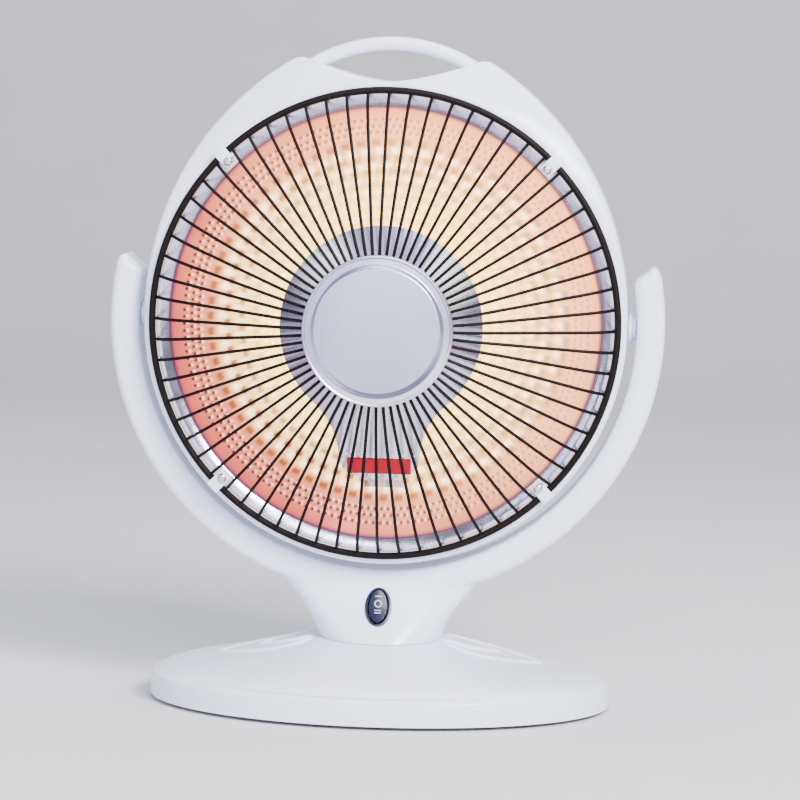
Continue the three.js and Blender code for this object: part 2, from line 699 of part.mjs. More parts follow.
/** Arms and neck as one filled body. */
function yokeBody(inset) {
  const edge = inset > 0 ? 0 : YOKE_EDGE;
  const steps = inset > 0 ? ARM_STEPS / 2 : ARM_STEPS;
  const arms = frontal(crescent(inset), inset - YOKE_HALF, YOKE_HALF - inset, edge, steps);
  return solid(arms.translate(0, 0, AXIS_Z)).add(neckBody(inset));
}

const MID_RADIUS = (YOKE_OUTER + YOKE_INNER) / 2;
const ARM_SCREW_X = MID_RADIUS * Math.cos(rad(ARM_SCREW_ANGLE));
const ARM_SCREW_Z = AXIS_Z - MID_RADIUS * Math.sin(rad(ARM_SCREW_ANGLE));
const YOKE_SCREW_AT = [
  [-ARM_SCREW_X, ARM_SCREW_Z],
  [ARM_SCREW_X, ARM_SCREW_Z],
  [-NECK_SCREW_X, NECK_TOP_Z - NECK_SCREW_DROP],
  [NECK_SCREW_X, NECK_TOP_Z - NECK_SCREW_DROP],
];

/** One half of the yoke's shell, in front of the split or behind it. */
function yokeShell(front) {
  const outer = yokeBody(0);
  const bosses = YOKE_SCREW_AT.map(([x, z]) => (
    solid(rodY(SCREW_HEAD + BOSS_WALL, -FAR, FAR, x, z)).intersect(outer)
  ));
  const shell = joined([outer.subtract(yokeBody(YOKE_WALL)), ...bosses]);
  const [near, far] = front ? [-FAR, -GAP / 2] : [GAP / 2, FAR];
  const half = solid(block(-FAR, FAR, near, far, 0, 2 * FAR));
  return without(shell.intersect(half), [...yokeHoles(), ...(front ? [switchPlace(switchCut())] : [])]);
}

/** Screw holes with their counterbores, the pins' bore and the spigot's bore. */
function yokeHoles() {
  const tips = YOKE_SCREW_SEAT - YOKE_SCREW_LENGTH - 1;
  const reach = YOKE_INNER + YOKE_WALL * 3;
  const pin = turnedAcross(rodPairs(PIN_RADIUS + TURN_GAP, -reach, reach), BORE_SIDES);
  const spigot = rodUp(SPIGOT_RADIUS + GAP, 0, NECK_FLOOR_Z + 1, 0, 0, COLLAR_SIDES);
  return [
    ...YOKE_SCREW_AT.map(([x, z]) => solid(rodY(SCREW_RADIUS + GAP, tips, FAR, x, z, BORE_SIDES))),
    ...YOKE_SCREW_AT.map(([x, z]) => solid(rodY(SCREW_HEAD + GAP, YOKE_SCREW_SEAT, FAR, x, z))),
    solid(pin.translate(0, 0, AXIS_Z)),
    solid(spigot),
  ];
}

/** Profile of a plain rod between two heights. */
function rodPairs(radius, from, to) {
  return [[0, from], [radius, from], [radius, to], [0, to]];
}

/** A screw from behind, seated in the rear shell. */
function yokeScrew([x, z]) {
  return slottedScrew(YOKE_SCREW_LENGTH).rotate([0, 0, 180]).translate([x, YOKE_SCREW_SEAT, z]);
}

// ---------------------------------------------------------------- swivel
const NECK_FLOOR_Z = SEAM_Z + YOKE_WALL;
const COVER_UNDER_Z = SEAM_Z - GAP - BASE_WALL;
const RETAINER_Z = COVER_UNDER_Z - GAP - FLANGE_THICKNESS;

function swivelSpigot() {
  const flange = NECK_FLOOR_Z + GAP;
  const foot = RETAINER_Z - SPIGOT_LIP;
  return turnedUp([
    [SPIGOT_BORE, foot],
    [SPIGOT_RADIUS, foot],
    [SPIGOT_RADIUS, flange],
    [SPIGOT_FLANGE, flange],
    [SPIGOT_FLANGE, flange + FLANGE_THICKNESS],
    [SPIGOT_BORE, flange + FLANGE_THICKNESS],
  ], COLLAR_SIDES);
}

function swivelRetainer() {
  const bore = SPIGOT_RADIUS + GAP;
  return turnedUp([
    [bore, RETAINER_Z], [SPIGOT_FLANGE, RETAINER_Z],
    [SPIGOT_FLANGE, RETAINER_Z + FLANGE_THICKNESS], [bore, RETAINER_Z + FLANGE_THICKNESS],
  ], COLLAR_SIDES);
}

// ---------------------------------------------------------------- switch
const SWITCH_STEP = 0.5;
const SWITCH_SLOPE = Math.atan(
  (neckHalfDepth(SWITCH_Z - SWITCH_STEP) - neckHalfDepth(SWITCH_Z + SWITCH_STEP)) / (2 * SWITCH_STEP),
);
const SEAT_DEPTH = SWITCH_FLANGE - SWITCH_PROUD;
const PIVOT_DEPTH = ROCKER_PIVOT - SWITCH_PROUD;
const BODY_HALF_WIDTH = SWITCH_WIDTH / 2 - SWITCH_RIM;
const BODY_HALF_HEIGHT = (SWITCH_HEIGHT - SWITCH_RIM) / 2;
const KEY_HALF_WIDTH = BODY_HALF_WIDTH - KEY_INSET;
const KEY_TOP = 2 * SWITCH_PROUD; // rocker's ends ahead of the switch's own face
const POCKET_HALF_WIDTH = KEY_HALF_WIDTH + TURN_GAP;
const POCKET_HALF_HEIGHT = SWITCH_HEIGHT / 2 - SWITCH_RIM + TURN_GAP;
const KEY_SWING = (PIVOT_DEPTH + KEY_TOP) * Math.sin(rad(ROCKER_TURN)); // end's travel along the pocket
const KEY_HALF_HEIGHT = (POCKET_HALF_HEIGHT - GAP - KEY_SWING) / Math.cos(rad(ROCKER_TURN));
const SWITCH_SIDES = 20;

/** Carries a solid from the switch's own place, face at y = 0, onto the neck. */
function switchPlace(body) {
  const lean = -THREE.MathUtils.radToDeg(SWITCH_SLOPE);
  return body.rotate([lean, 0, 0]).translate([0, -neckHalfDepth(SWITCH_Z), SWITCH_Z]);
}

/** An oval rod of the switch's proportions, from y0 back to y1 in the switch's own place. */
function switchOval(halfWidth, halfHeight, y0, y1, edge = 0) {
  return frontal(ovalShape(halfWidth, halfHeight, SWITCH_SIDES), y0, y1, edge);
}

/** The recess for the flange and the hole for the body behind it. */
function switchCut() {
  const seat = switchOval(SWITCH_WIDTH / 2 + GAP, SWITCH_HEIGHT / 2 + GAP, -SWITCH_BODY, SEAT_DEPTH + GAP);
  const [x, z] = [BODY_HALF_WIDTH + GAP, BODY_HALF_HEIGHT + GAP];
  return solid(seat).add(solid(block(-x, x, 0, SWITCH_BODY + GAP, -z, z)));
}

function switchBody() {
  const flange = switchOval(SWITCH_WIDTH / 2, SWITCH_HEIGHT / 2, -SWITCH_PROUD, SEAT_DEPTH, 0.6);
  const box = block(-BODY_HALF_WIDTH, BODY_HALF_WIDTH, 0, SWITCH_BODY, -BODY_HALF_HEIGHT, BODY_HALF_HEIGHT);
  const pocket = switchOval(POCKET_HALF_WIDTH, POCKET_HALF_HEIGHT, -SWITCH_BODY, SWITCH_BODY - SWITCH_WALL);
  return switchPlace(without(solid(flange).add(solid(box)), [solid(pocket), keyPin(GAP)]));
}

/** The rocker's cross pin, or with a growth the bore it needs. */
function keyPin(growth) {
  const reach = BODY_HALF_WIDTH + growth;
  const pin = turnedAcross(rodPairs(ROCKER_PIN + growth, -reach, reach), BORE_SIDES);
  return solid(pin.translate(0, PIVOT_DEPTH, 0));
}

/** The rocker: an oval key, dished along its length, on a cross pin. */
function rocker() {
  const oval = solid(switchOval(KEY_HALF_WIDTH, KEY_HALF_HEIGHT, -KEY_TOP, KEY_BELLY));
  const tall = KEY_HALF_HEIGHT + 2;
  const side = new THREE.Shape();
  side.moveTo(-KEY_TOP, -tall);
  side.quadraticCurveTo(KEY_DIP, 0, -KEY_TOP, tall);
  side.lineTo(KEY_BACK, tall);
  side.quadraticCurveTo(KEY_BELLY, 0, KEY_BACK, -tall);
  const key = oval.intersect(solid(sideways(side, -SWITCH_WIDTH, SWITCH_WIDTH)));
  return switchPlace(key.add(keyPin(0)));
}

// ---------------------------------------------------------------- head shells
const SHOULDER_ANGLE = Math.atan2(SHOULDER_HEIGHT, SHOULDER_SPREAD);
const SHOULDER_REACH = Math.hypot(SHOULDER_HEIGHT, SHOULDER_SPREAD);

/** Height of the dip between the shoulders at a distance from the centre line. */
function valleyHeight(x) {
  const share = Math.abs(x) / SHOULDER_SPREAD;
  return lerp(VALLEY_HEIGHT, SHOULDER_HEIGHT, share ** 1.5);
}

/** Front view of the head: a circle below, flanks that swell to two shoulders, a dip between. */
function headOutline(inset) {
  const right = spread(-Math.PI / 2, 0, 12).map((a) => [a, BEZEL_RADIUS]);
  for (const share of spread(0, 0.985, 9).slice(1)) {
    right.push([SHOULDER_ANGLE * share, lerp(BEZEL_RADIUS, SHOULDER_REACH, share ** 1.7)]);
  }
  const flank = right.map(([a, r]) => (
    new THREE.Vector2((r - inset) * Math.cos(a), (r - inset) * Math.sin(a))
  ));
  const dip = spread(0.95, 0, 5).map((share) => {
    const x = share * SHOULDER_SPREAD;
    return new THREE.Vector2(x - inset * 0.4 * share, valleyHeight(x) - inset);
  });
  const half = [...flank, ...dip];
  const mirrored = half.slice(1, -1).reverse().map((p) => new THREE.Vector2(-p.x, p.y));
  return new THREE.Shape([...half, ...mirrored]);
}

const CROWN_EDGE = SHOULDER_REACH + 6; // beyond the outline, which trims it

/** The front face at a radius, as a distance behind the bezel's flat ring. */
function crownFall(radius) {
  const share = Math.max(radius - RING_RADIUS - RING_SECTION, 0) / (SHOULDER_REACH - RING_RADIUS);
  return CROWN_FALL * share ** 1.5;
}

/** The turned body that gives the head its crowned front. */
function frontCrown(inset) {
  const radii = [RING_RADIUS + RING_SECTION, ...spread(BEZEL_RADIUS, CROWN_EDGE, 3)];
  const face = radii.map((r) => [r, inset - BEZEL_FRONT + crownFall(r)]);
  return turned([[0, FAR], [0, inset - BEZEL_FRONT], ...face, [CROWN_EDGE, FAR]], HEAD_SEGMENTS);
}

/** The turned body that gives the head its bowl at the back. */
function rearCrown(inset) {
  const bowl = spread(0.28, 1, inset > 0 ? 4 : 5).map((share) => {
    const angle = share * Math.PI / 2;
    const depth = REAR_STRAIGHT + REAR_BOWL * Math.cos(angle);
    return [(BEZEL_RADIUS - inset) * Math.sin(angle), depth - inset];
  });
  const edge = [CROWN_EDGE, REAR_STRAIGHT * 0.4 - inset];
  const facets = inset > 0 ? HIDDEN_SEGMENTS : HEAD_SEGMENTS;
  return turned([[0, bowl[0][1]], ...bowl, edge, [CROWN_EDGE, -FAR], [0, -FAR]], facets);
}

const PIN_FACE = BEZEL_RADIUS + GAP + 0.2;

/** Turns a shape from the +X side round the head's front-back axis. */
function round(body, angle) {
  return body.rotate([0, -angle, 0]);
}

function frontHousing() {
  const outline = frontal(headOutline(0), -FAR, -GAP / 2);
  const inner = frontal(headOutline(HEAD_WALL), -FAR, FAR);
  const hollow = solid(inner).intersect(solid(frontCrown(HEAD_WALL)));
  const shell = solid(outline).intersect(solid(frontCrown(0))).subtract(hollow);
  const opening = solid(rodY(BEZEL_INNER, -FAR, FAR, 0, 0, HEAD_SEGMENTS));
  const lugs = CLIP_ANGLES.map((angle) => round(clipLug(), angle));
  const cuts = [...clipHoles(), ...pinHoles(), solid(handleBar(GAP))];
  return without(joined([shell.subtract(opening), ...lugs]), cuts);
}

/** A tongue inside the bezel that a clip's screw passes through. */
function clipLug() {
  const [near, far] = [CLIP_SCREW_R - LUG_INSIDE, BEZEL_INNER + 3];
  const half = LUG_WIDTH / 2;
  return solid(block(near, far, -BEZEL_FRONT, -BEZEL_FRONT + HEAD_WALL, -half, half));
}

function clipHoles() {
  return CLIP_ANGLES.map((angle) => (
    round(solid(rodY(SCREW_RADIUS + GAP, -FAR, 0, CLIP_SCREW_R, 0, BORE_SIDES)), angle)
  ));
}

/** Where the pivot pins pass through the head's side walls. */
function pinHoles() {
  const [near, far] = [BEZEL_RADIUS - 4 * HEAD_WALL, BEZEL_RADIUS + 4 * HEAD_WALL];
  return [-1, 1].map((side) => {
    const pairs = rodPairs(PIN_RADIUS + GAP, side * near, side * far);
    return solid(turnedAcross(pairs, BORE_SIDES));
  });
}

/** One cooling slot in the back of the bowl, at a place along X and Z. */
function ventCut(x, z) {
  const [dx, dz] = [VENT_WIDTH / 2, VENT_LENGTH / 2];
  return solid(block(x - dx, x + dx, REAR_STRAIGHT + 8, FAR, z - dz, z + dz));
}

function rearHousing() {
  const outline = frontal(headOutline(0), GAP / 2, FAR);
  const inner = frontal(headOutline(HEAD_WALL), -FAR, FAR);
  const hollow = solid(inner).intersect(solid(rearCrown(HEAD_WALL)));
  const shell = solid(outline).intersect(solid(rearCrown(0))).subtract(hollow);
  const vents = spread(-VENT_REACH, VENT_REACH, VENT_COUNT - 1).flatMap((x) => [
    ventCut(x, VENT_HEIGHT),
    ventCut(x, -VENT_HEIGHT),
  ]);
  return without(shell, [...vents, ...pinHoles(), solid(handleBar(GAP))]);
}

/** The carrying handle, or with a growth the room it needs. */
function handleBar(growth) {
  const centre = HANDLE_TOP - HANDLE_RADIUS;
  const radius = HANDLE_RADIUS - HANDLE_THICK / 2;
  const middle = HANDLE_BACK - HANDLE_DEPTH / 2;
  const extra = growth > 0 ? 1 : 0;
  const path = spread(-HANDLE_SWEEP - extra, HANDLE_SWEEP + extra, 12).map((angle) => (
    new THREE.Vector3(radius * Math.sin(rad(angle)), middle, centre + radius * Math.cos(rad(angle)))
  ));
  const [a, b] = [HANDLE_DEPTH / 2 + growth, HANDLE_THICK / 2 + growth];
  const section = spread(0, 2 * Math.PI, 10).slice(0, -1).map((angle) => {
    const [c, s] = [Math.cos(angle), Math.sin(angle)].map((v) => Math.sign(v) * Math.abs(v) ** 0.7);
    return new THREE.Vector2(a * c, b * s);
  });
  return tube(path, new THREE.Shape(section));
}

/** A pivot pin on one side: its washer faces stand between the head and the yoke. */
function pivotPin(side) {
  const nose = Math.sqrt(YOKE_INNER ** 2 - HUB_STEP_RADIUS ** 2) - GAP;
  const middle = (PIN_FACE + nose) / 2;
  const inWall = (BEZEL_RADIUS - HEAD_WALL) * Math.cos(Math.PI / HIDDEN_SEGMENTS) - GAP;
  const inYoke = YOKE_INNER + YOKE_WALL + GAP;
  const pin = turnedAcross([
    [0, inWall - PIN_FLANGE_THICK],
    [PIN_FLANGE, inWall - PIN_FLANGE_THICK],
    [PIN_FLANGE, inWall],
    [PIN_RADIUS, inWall],
    [PIN_RADIUS, PIN_FACE],
    [HUB_STEP_RADIUS, PIN_FACE],
    [HUB_STEP_RADIUS, middle],
    [HUB_NOSE_RADIUS, middle],
    [HUB_NOSE_RADIUS, nose],
    [PIN_RADIUS, nose],
    [PIN_RADIUS, inYoke],
    [PIN_CAP, inYoke],
    [PIN_CAP, inYoke + PIN_FLANGE_THICK],
    [0, inYoke + PIN_FLANGE_THICK],
  ], ROD_SIDES);
  return side > 0 ? pin : pin.rotateZ(Math.PI);
}

// ---------------------------------------------------------------- reflector
const FLANGE_FRONT = -BEZEL_FRONT + HEAD_WALL + GAP; // front of the dish's flange
const DISH_EDGE_Y = FLANGE_FRONT + DISH_STEP;

/** Inner face of the bowl at a radius. */
function dishY(radius) {
  return DISH_EDGE_Y + DISH_DEPTH * (1 - (radius / DISH_RADIUS) ** 2);
}

const DISH_RINGS = spread(DISH_RADIUS, DISH_HOLE, 5);

/** The same on the bowl's flat facets, at the facet corner nearest the front. */
function dishFacetY(radius) {
  const reach = radius / Math.cos(Math.PI / HEAD_SEGMENTS);
  const step = (DISH_RADIUS - DISH_HOLE) / (DISH_RINGS.length - 1);
  const outer = Math.min(DISH_HOLE + step * Math.ceil((reach - DISH_HOLE) / step), DISH_RADIUS);
  const inner = outer - step;
  return lerp(dishY(inner), dishY(outer), (reach - inner) / step);
}

function reflectorDish() {
  const inner = DISH_RINGS.map((r) => [r, dishY(r)]);
  const outer = DISH_RINGS.map((r) => [r + DISH_SHEET * 0.7, dishY(r) + DISH_SHEET]).reverse();
  const profile = [
    [DISH_FLANGE, FLANGE_FRONT], [BEZEL_INNER - 1, FLANGE_FRONT], ...inner,
    ...outer, [BEZEL_INNER - 1, FLANGE_FRONT + DISH_SHEET], [DISH_FLANGE, FLANGE_FRONT + DISH_SHEET],
  ];
  return without(solid(turned(profile, HEAD_SEGMENTS)), clipHoles());
}

// ---------------------------------------------------------------- element
const SOCKET_FRONT = dishY(DISH_HOLE) - 4;
const FORMER_BACK_Y = SOCKET_FRONT - GAP;
const COLLAR_START = 1; // rear collar ahead of the former's back face
const FORMER_SIDES = 16;

/** Radius of the wire's seat on the former, at a distance ahead of its back end. */
function formerRadius(ahead) {
  return lerp(FORMER_BACK, FORMER_FRONT, ahead / FORMER_LENGTH);
}

function elementSocket() {
  const flange = dishY(DISH_HOLE) + DISH_SHEET + GAP;
  const back = SOCKET_FRONT + SOCKET_LENGTH;
  const waist = SOCKET_RADIUS - SOCKET_WALL;
  return turned([
    [0, SOCKET_FRONT],
    [SOCKET_RADIUS, SOCKET_FRONT],
    [SOCKET_RADIUS, flange],
    [SOCKET_FLANGE, flange],
    [SOCKET_FLANGE, flange + SOCKET_WALL],
    [waist, flange + SOCKET_WALL],
    [waist, back],
    [0, back],
  ], FORMER_SIDES);
}

function elementFormer() {
  const tip = FORMER_LENGTH - COLLAR_WIDTH;
  const nose = FORMER_BACK_Y - FORMER_LENGTH - 2;
  const at = (ahead, extra = 0) => [formerRadius(ahead) + extra, FORMER_BACK_Y - ahead];
  return turned([
    [0, FORMER_BACK_Y],
    [SOCKET_RADIUS, FORMER_BACK_Y],
    at(COLLAR_START, COLLAR_HEIGHT),
    at(COLLAR_START + COLLAR_WIDTH, COLLAR_HEIGHT),
    at(COLLAR_START + COLLAR_WIDTH),
    at(tip),
    at(tip, COLLAR_HEIGHT),
    at(FORMER_LENGTH, COLLAR_HEIGHT - 1),
    [FORMER_FRONT / 2, nose],
    [0, nose],
  ], FORMER_SIDES);
}

const COIL_SEAT = COIL_WIRE + GAP; // wire's centre line above the former
const COIL_FIRST = COLLAR_START + COLLAR_WIDTH + LEAD_BEND + LEAD_ROOM; // first loop
const COIL_LAST = FORMER_LENGTH - COLLAR_WIDTH - LEAD_BEND - LEAD_ROOM; // last loop

/** Centre line of the wound wire: its loops climb the cone, its ends turn to meet the collars. */
function coilPath() {
  const loops = spread(0, 1, COIL_LOOPS * LOOP_STEPS).map((t) => {
    const ahead = lerp(COIL_FIRST, COIL_LAST, t);
    const radius = formerRadius(ahead) + COIL_SEAT;
    const angle = 2 * Math.PI * COIL_LOOPS * t;
    return new THREE.Vector3(radius * Math.cos(angle), FORMER_BACK_Y - ahead, radius * Math.sin(angle));
  });
  const last = loops.length - 1;
  const rear = lead(loops[1], loops[0], 1);
  const front = lead(loops[last - 1], loops[last], -1);
  return [...rear.reverse(), ...loops, ...front];
}

/** The end of the wire beyond its last loop: a quarter bend, then straight to the collar. */
function lead(before, end, toward) {
  const along = end.clone().sub(before).setY(0).normalize();
  const axis = new THREE.Vector3(0, toward, 0);
  const bend = spread(0, Math.PI / 2, 4).slice(1).map((a) => {
    const [out, over] = [LEAD_BEND * Math.sin(a), LEAD_BEND * (1 - Math.cos(a))];
    return end.clone().addScaledVector(along, out).addScaledVector(axis, over);
  });
  return [...bend, bend[bend.length - 1].clone().addScaledVector(axis, LEAD_ROOM - GAP)];
}

/** The least free space between two stretches of the wire that are half a loop or more apart. */
function leastGap(points) {
  let least = Infinity;
  for (let i = 0; i < points.length; i += 1) {
    for (let j = i + LOOP_STEPS / 2; j < points.length; j += 1) {
      least = Math.min(least, points[i].distanceTo(points[j]));
    }
  }
  return least - 2 * COIL_WIRE;
}

function heatingCoil() {
  const points = coilPath();
  console.log(`heating coil: least gap to itself ${leastGap(points).toFixed(2)} mm`);
  return tube(points, ovalShape(COIL_WIRE, COIL_WIRE, COIL_SIDES));
}

// ---------------------------------------------------------------- shield
const SHIELD_Y = -BEZEL_FRONT - SHIELD_AHEAD;
const STEM_TOP = -(SHIELD_RADIUS - 12);
const LEG_Z = -(STEM_END + 3);

/** Front view of the shield: a disc with a stem that narrows to a leg. */
function keyhole() {
  const half = STEM_WIDTH / 2;
  const away = SHIELD_RADIUS + STEM_FILLET;
  const drop = Math.sqrt(away ** 2 - (half + STEM_FILLET) ** 2);
  const onDisc = Math.atan2(-drop, half + STEM_FILLET);
  const toDisc = Math.PI + onDisc;
  const corner = (STEM_WIDTH - LEG_WIDTH) / 2;
  const shape = new THREE.Shape();
  shape.absarc(0, 0, SHIELD_RADIUS, onDisc, Math.PI - onDisc, false);
  shape.absarc(-half - STEM_FILLET, -drop, STEM_FILLET, Math.PI - toDisc, 0, true);
  shape.absarc(-half + corner, -STEM_END + corner, corner, Math.PI, 1.5 * Math.PI, false);
  shape.lineTo(-LEG_WIDTH / 2, -STEM_END - 3 * LEG_FLANGE);
  shape.lineTo(LEG_WIDTH / 2, -STEM_END - 3 * LEG_FLANGE);
  shape.lineTo(LEG_WIDTH / 2, -STEM_END);
  shape.absarc(half - corner, -STEM_END + corner, corner, 1.5 * Math.PI, 2 * Math.PI, false);
  shape.absarc(half + STEM_FILLET, -drop, STEM_FILLET, Math.PI, toDisc, true);
  return shape;
}

/** Side view of the shield's sheet, from its top edge down the stem and back to the dish. */
function shieldLine() {
  const seat = (z) => {
    const slope = 2 * DISH_DEPTH * -z / DISH_RADIUS ** 2;
    const rest = (SHIELD_SHEET / 2 + GAP) * Math.hypot(1, slope);
    return new THREE.Vector2(dishFacetY(Math.hypot(z, LEG_WIDTH / 2)) - rest, z);
  };
  return [
    new THREE.Vector2(SHIELD_Y, SHIELD_RADIUS + 5),
    new THREE.Vector2(SHIELD_Y, STEM_TOP),
    new THREE.Vector2(SHIELD_Y + STEM_SET_BACK, -STEM_END + 1),
    new THREE.Vector2(SHIELD_Y + STEM_SET_BACK + 2, LEG_Z),
    seat(LEG_Z - 1),
    seat(LEG_Z - LEG_FLANGE),
  ];
}

function elementShield() {
  const side = sideways(sheetShape(shieldLine(), SHIELD_SHEET), -FAR, FAR);
  return solid(side).intersect(solid(frontal(keyhole(), -FAR, FAR)));
}

function shieldBand() {
  const [, top, bottom] = shieldLine();
  const along = bottom.clone().sub(top).normalize();
  const ahead = new THREE.Vector2(along.y, -along.x);
  const lift = SHIELD_SHEET / 2 + GAP + BAND_SHEET / 2;
  const low = bottom.clone().addScaledVector(along, -BAND_MARGIN).addScaledVector(ahead, lift);
  const high = low.clone().addScaledVector(along, -BAND_HEIGHT);
  return sideways(sheetShape([high, low], BAND_SHEET), -BAND_WIDTH / 2, BAND_WIDTH / 2);
}

// ---------------------------------------------------------------- guard
const RING_Y = -BEZEL_FRONT - GAP - RING_SECTION;
const HUB_Y = RING_Y - GUARD_DOME;
const DISC_SIDES = 32;

function guard() {
  const path = [
    new THREE.Vector3(HUB_RADIUS, HUB_Y, 0),
    new THREE.Vector3(RING_RADIUS - KINK_INSET, RING_Y - KINK_AHEAD, 0),
    new THREE.Vector3(RING_RADIUS, RING_Y, 0),
  ];
  const wire = solid(tube(path, ovalShape(WIRE_RADIUS, WIRE_RADIUS, WIRE_SIDES)));
  const pitch = 360 / WIRE_COUNT;
  const wires = spread(0, WIRE_COUNT - 1, WIRE_COUNT - 1).map((i) => round(wire, i * pitch));
  const rings = [ringProfile(), squareRod(HUB_RADIUS, HUB_Y, HUB_HALF)];
  const shifted = rings.map((rod) => round(solid(turned(rod, WIRE_COUNT / 2)), pitch / 2));
  return joined([...shifted, ...wires]);
}

/** Section of a square rod bent to a circle. */
function squareRod(radius, y, half) {
  const [near, far] = [radius - half, radius + half];
  return [[near, y - half], [far, y - half], [far, y + half], [near, y + half]];
}

/** Section of the outer ring: square, with the inner front corner slanted where the wires meet it. */
function ringProfile() {
  const [corner, ...rest] = squareRod(RING_RADIUS, RING_Y, RING_SECTION);
  return [[corner[0], corner[1] + RING_SECTION], [corner[0] + RING_SECTION, corner[1]], ...rest];
}

/** Where a wire's centre line stands at a radius between the hub and the kink. */
function wireY(radius) {
  const share = (radius - HUB_RADIUS) / (RING_RADIUS - KINK_INSET - HUB_RADIUS);
  return lerp(HUB_Y, RING_Y - KINK_AHEAD, share);
}

/** The disc in front of the wires: a plateau with a bevel, then a low rim turned back. */
function centreDisc() {
  const wall = DISC_RADIUS - DISC_SHEET;
  const back = wireY(wall) - WIRE_RADIUS * 1.2 - GAP;
  const front = back - DISC_HEIGHT;
  const plateau = DISC_RADIUS - DISC_BEVEL - 2;
  return turned([
    [0, front],
    [plateau, front],
    [plateau + DISC_BEVEL * 0.6, front + 2],
    [wall, front + 1.8],
    [DISC_RADIUS, front + 3],
    [DISC_RADIUS, back],
    [wall, back],
    [wall, front + 3.6],
    [plateau, front + 3.4],
    [plateau - 2, front + DISC_SHEET],
    [0, front + DISC_SHEET],
  ], DISC_SIDES);
}

const CLIP_UNDER = RING_Y - RING_SECTION - GAP; // clip's plate in front of the guard's ring
const CLIP_FRONT = CLIP_UNDER - CLIP_THICK;

/** A clip: it stands on the bezel's lug and reaches over the guard's ring. */
function guardClip(angle) {
  const near = CLIP_SCREW_R - CLIP_INSIDE;
  const half = CLIP_WIDTH / 2;
  const ring = (RING_RADIUS - RING_SECTION) * Math.cos(2 * Math.PI / WIRE_COUNT) - GAP;
  const foot = block(near, ring, CLIP_UNDER, -BEZEL_FRONT - GAP, -half, half);
  const plate = block(near, BEZEL_RADIUS - CLIP_MARGIN, CLIP_FRONT, CLIP_UNDER, -half, half);
  return without(round(solid(foot).add(solid(plate)), angle), clipHoles());
}

function clipScrew(angle) {
  const seat = CLIP_FRONT - GAP;
  const length = FLANGE_FRONT + DISH_SHEET + SCREW_END - seat;
  return round(slottedScrew(length).translate([CLIP_SCREW_R, seat, 0]), angle);
}

// ---------------------------------------------------------------- assembly
const heater = new THREE.Group();
const head = new THREE.Group();
head.position.set(0, 0, AXIS_Z);

heater.add(piece('base_cover', baseCover(), white()));
heater.add(piece('base_plate', basePlate(), iron()));
heater.add(piece('base_weight', baseWeight(), iron()));
FOOT_AT.forEach((at, i) => heater.add(piece(`foot_${i + 1}`, foot(at), rubber())));
BASE_SCREW_AT.forEach((at, i) => heater.add(piece(`base_screw_${i + 1}`, baseScrew(at), steel())));
heater.add(piece('tip_switch_body', tipSwitchBody(), black()));
heater.add(piece('tip_plunger', tipPlunger(), black()));
heater.add(piece('cord_gland', cordGland(), rubber()));

heater.add(piece('yoke_front_shell', yokeShell(true), white()));
heater.add(piece('yoke_rear_shell', yokeShell(false), white()));
YOKE_SCREW_AT.forEach((at, i) => heater.add(piece(`yoke_screw_${i + 1}`, yokeScrew(at), steel())));
heater.add(piece('swivel_spigot', swivelSpigot(), black()));
heater.add(piece('swivel_retainer', swivelRetainer(), black()));
heater.add(piece('switch_body', switchBody(), navy()));
heater.add(piece('switch_rocker', rocker(), navy()));

head.add(piece('front_housing', frontHousing(), white()));
head.add(piece('rear_housing', rearHousing(), white()));
head.add(piece('carry_handle', handleBar(0), white()));
head.add(piece('pivot_pin_left', pivotPin(-1), white()));
head.add(piece('pivot_pin_right', pivotPin(1), white()));
head.add(piece('reflector_dish', reflectorDish(), gold()));
head.add(piece('element_socket', elementSocket(), ceramic()));
head.add(piece('element_former', elementFormer(), ceramic()));
head.add(piece('heating_coil', heatingCoil(), glow()));
head.add(piece('element_shield', elementShield(), chrome()));
head.add(piece('shield_band', shieldBand(), red()));
head.add(piece('guard', guard(), black()));
head.add(piece('centre_disc', centreDisc(), steel()));
CLIP_ANGLES.forEach((angle, i) => {
  head.add(piece(`guard_clip_${i + 1}`, guardClip(angle), white()));
  head.add(piece(`clip_screw_${i + 1}`, clipScrew(angle), steel()));
});
heater.add(head);

export default heater;
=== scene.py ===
"""Looks of a parabolic room heater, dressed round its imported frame.

Pieces are drawn in millimetres about the foot's centre, or about the tilt axis for the head, and
brought to metres when they are handed over.
"""

import logging
import math
from dataclasses import dataclass
from enum import Enum
from typing import Callable, Iterable, Sequence

import bpy
import numpy as np
from mathutils import Matrix, Vector


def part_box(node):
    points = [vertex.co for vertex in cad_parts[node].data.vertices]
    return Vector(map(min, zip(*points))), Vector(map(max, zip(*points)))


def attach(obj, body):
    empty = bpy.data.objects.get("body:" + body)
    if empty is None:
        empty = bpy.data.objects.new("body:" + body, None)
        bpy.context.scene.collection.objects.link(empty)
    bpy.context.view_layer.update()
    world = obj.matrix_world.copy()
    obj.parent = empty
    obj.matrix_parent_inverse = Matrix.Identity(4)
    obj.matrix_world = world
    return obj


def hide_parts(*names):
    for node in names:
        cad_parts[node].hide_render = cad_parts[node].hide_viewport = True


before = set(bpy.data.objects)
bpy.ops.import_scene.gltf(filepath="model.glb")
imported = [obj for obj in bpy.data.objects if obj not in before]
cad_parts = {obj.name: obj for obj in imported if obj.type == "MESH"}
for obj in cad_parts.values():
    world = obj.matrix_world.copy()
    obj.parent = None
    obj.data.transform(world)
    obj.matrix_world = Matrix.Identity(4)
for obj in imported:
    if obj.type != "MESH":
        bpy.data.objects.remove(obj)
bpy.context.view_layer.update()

LOG = logging.getLogger("heater")
MM = 0.001
WELD = 0.004
FINE_ANGLE = math.radians(32)
QUARTERS = (45, 135, 225, 315)

Piece = bpy.types.Object
Surface = Callable[[np.ndarray, np.ndarray], np.ndarray]


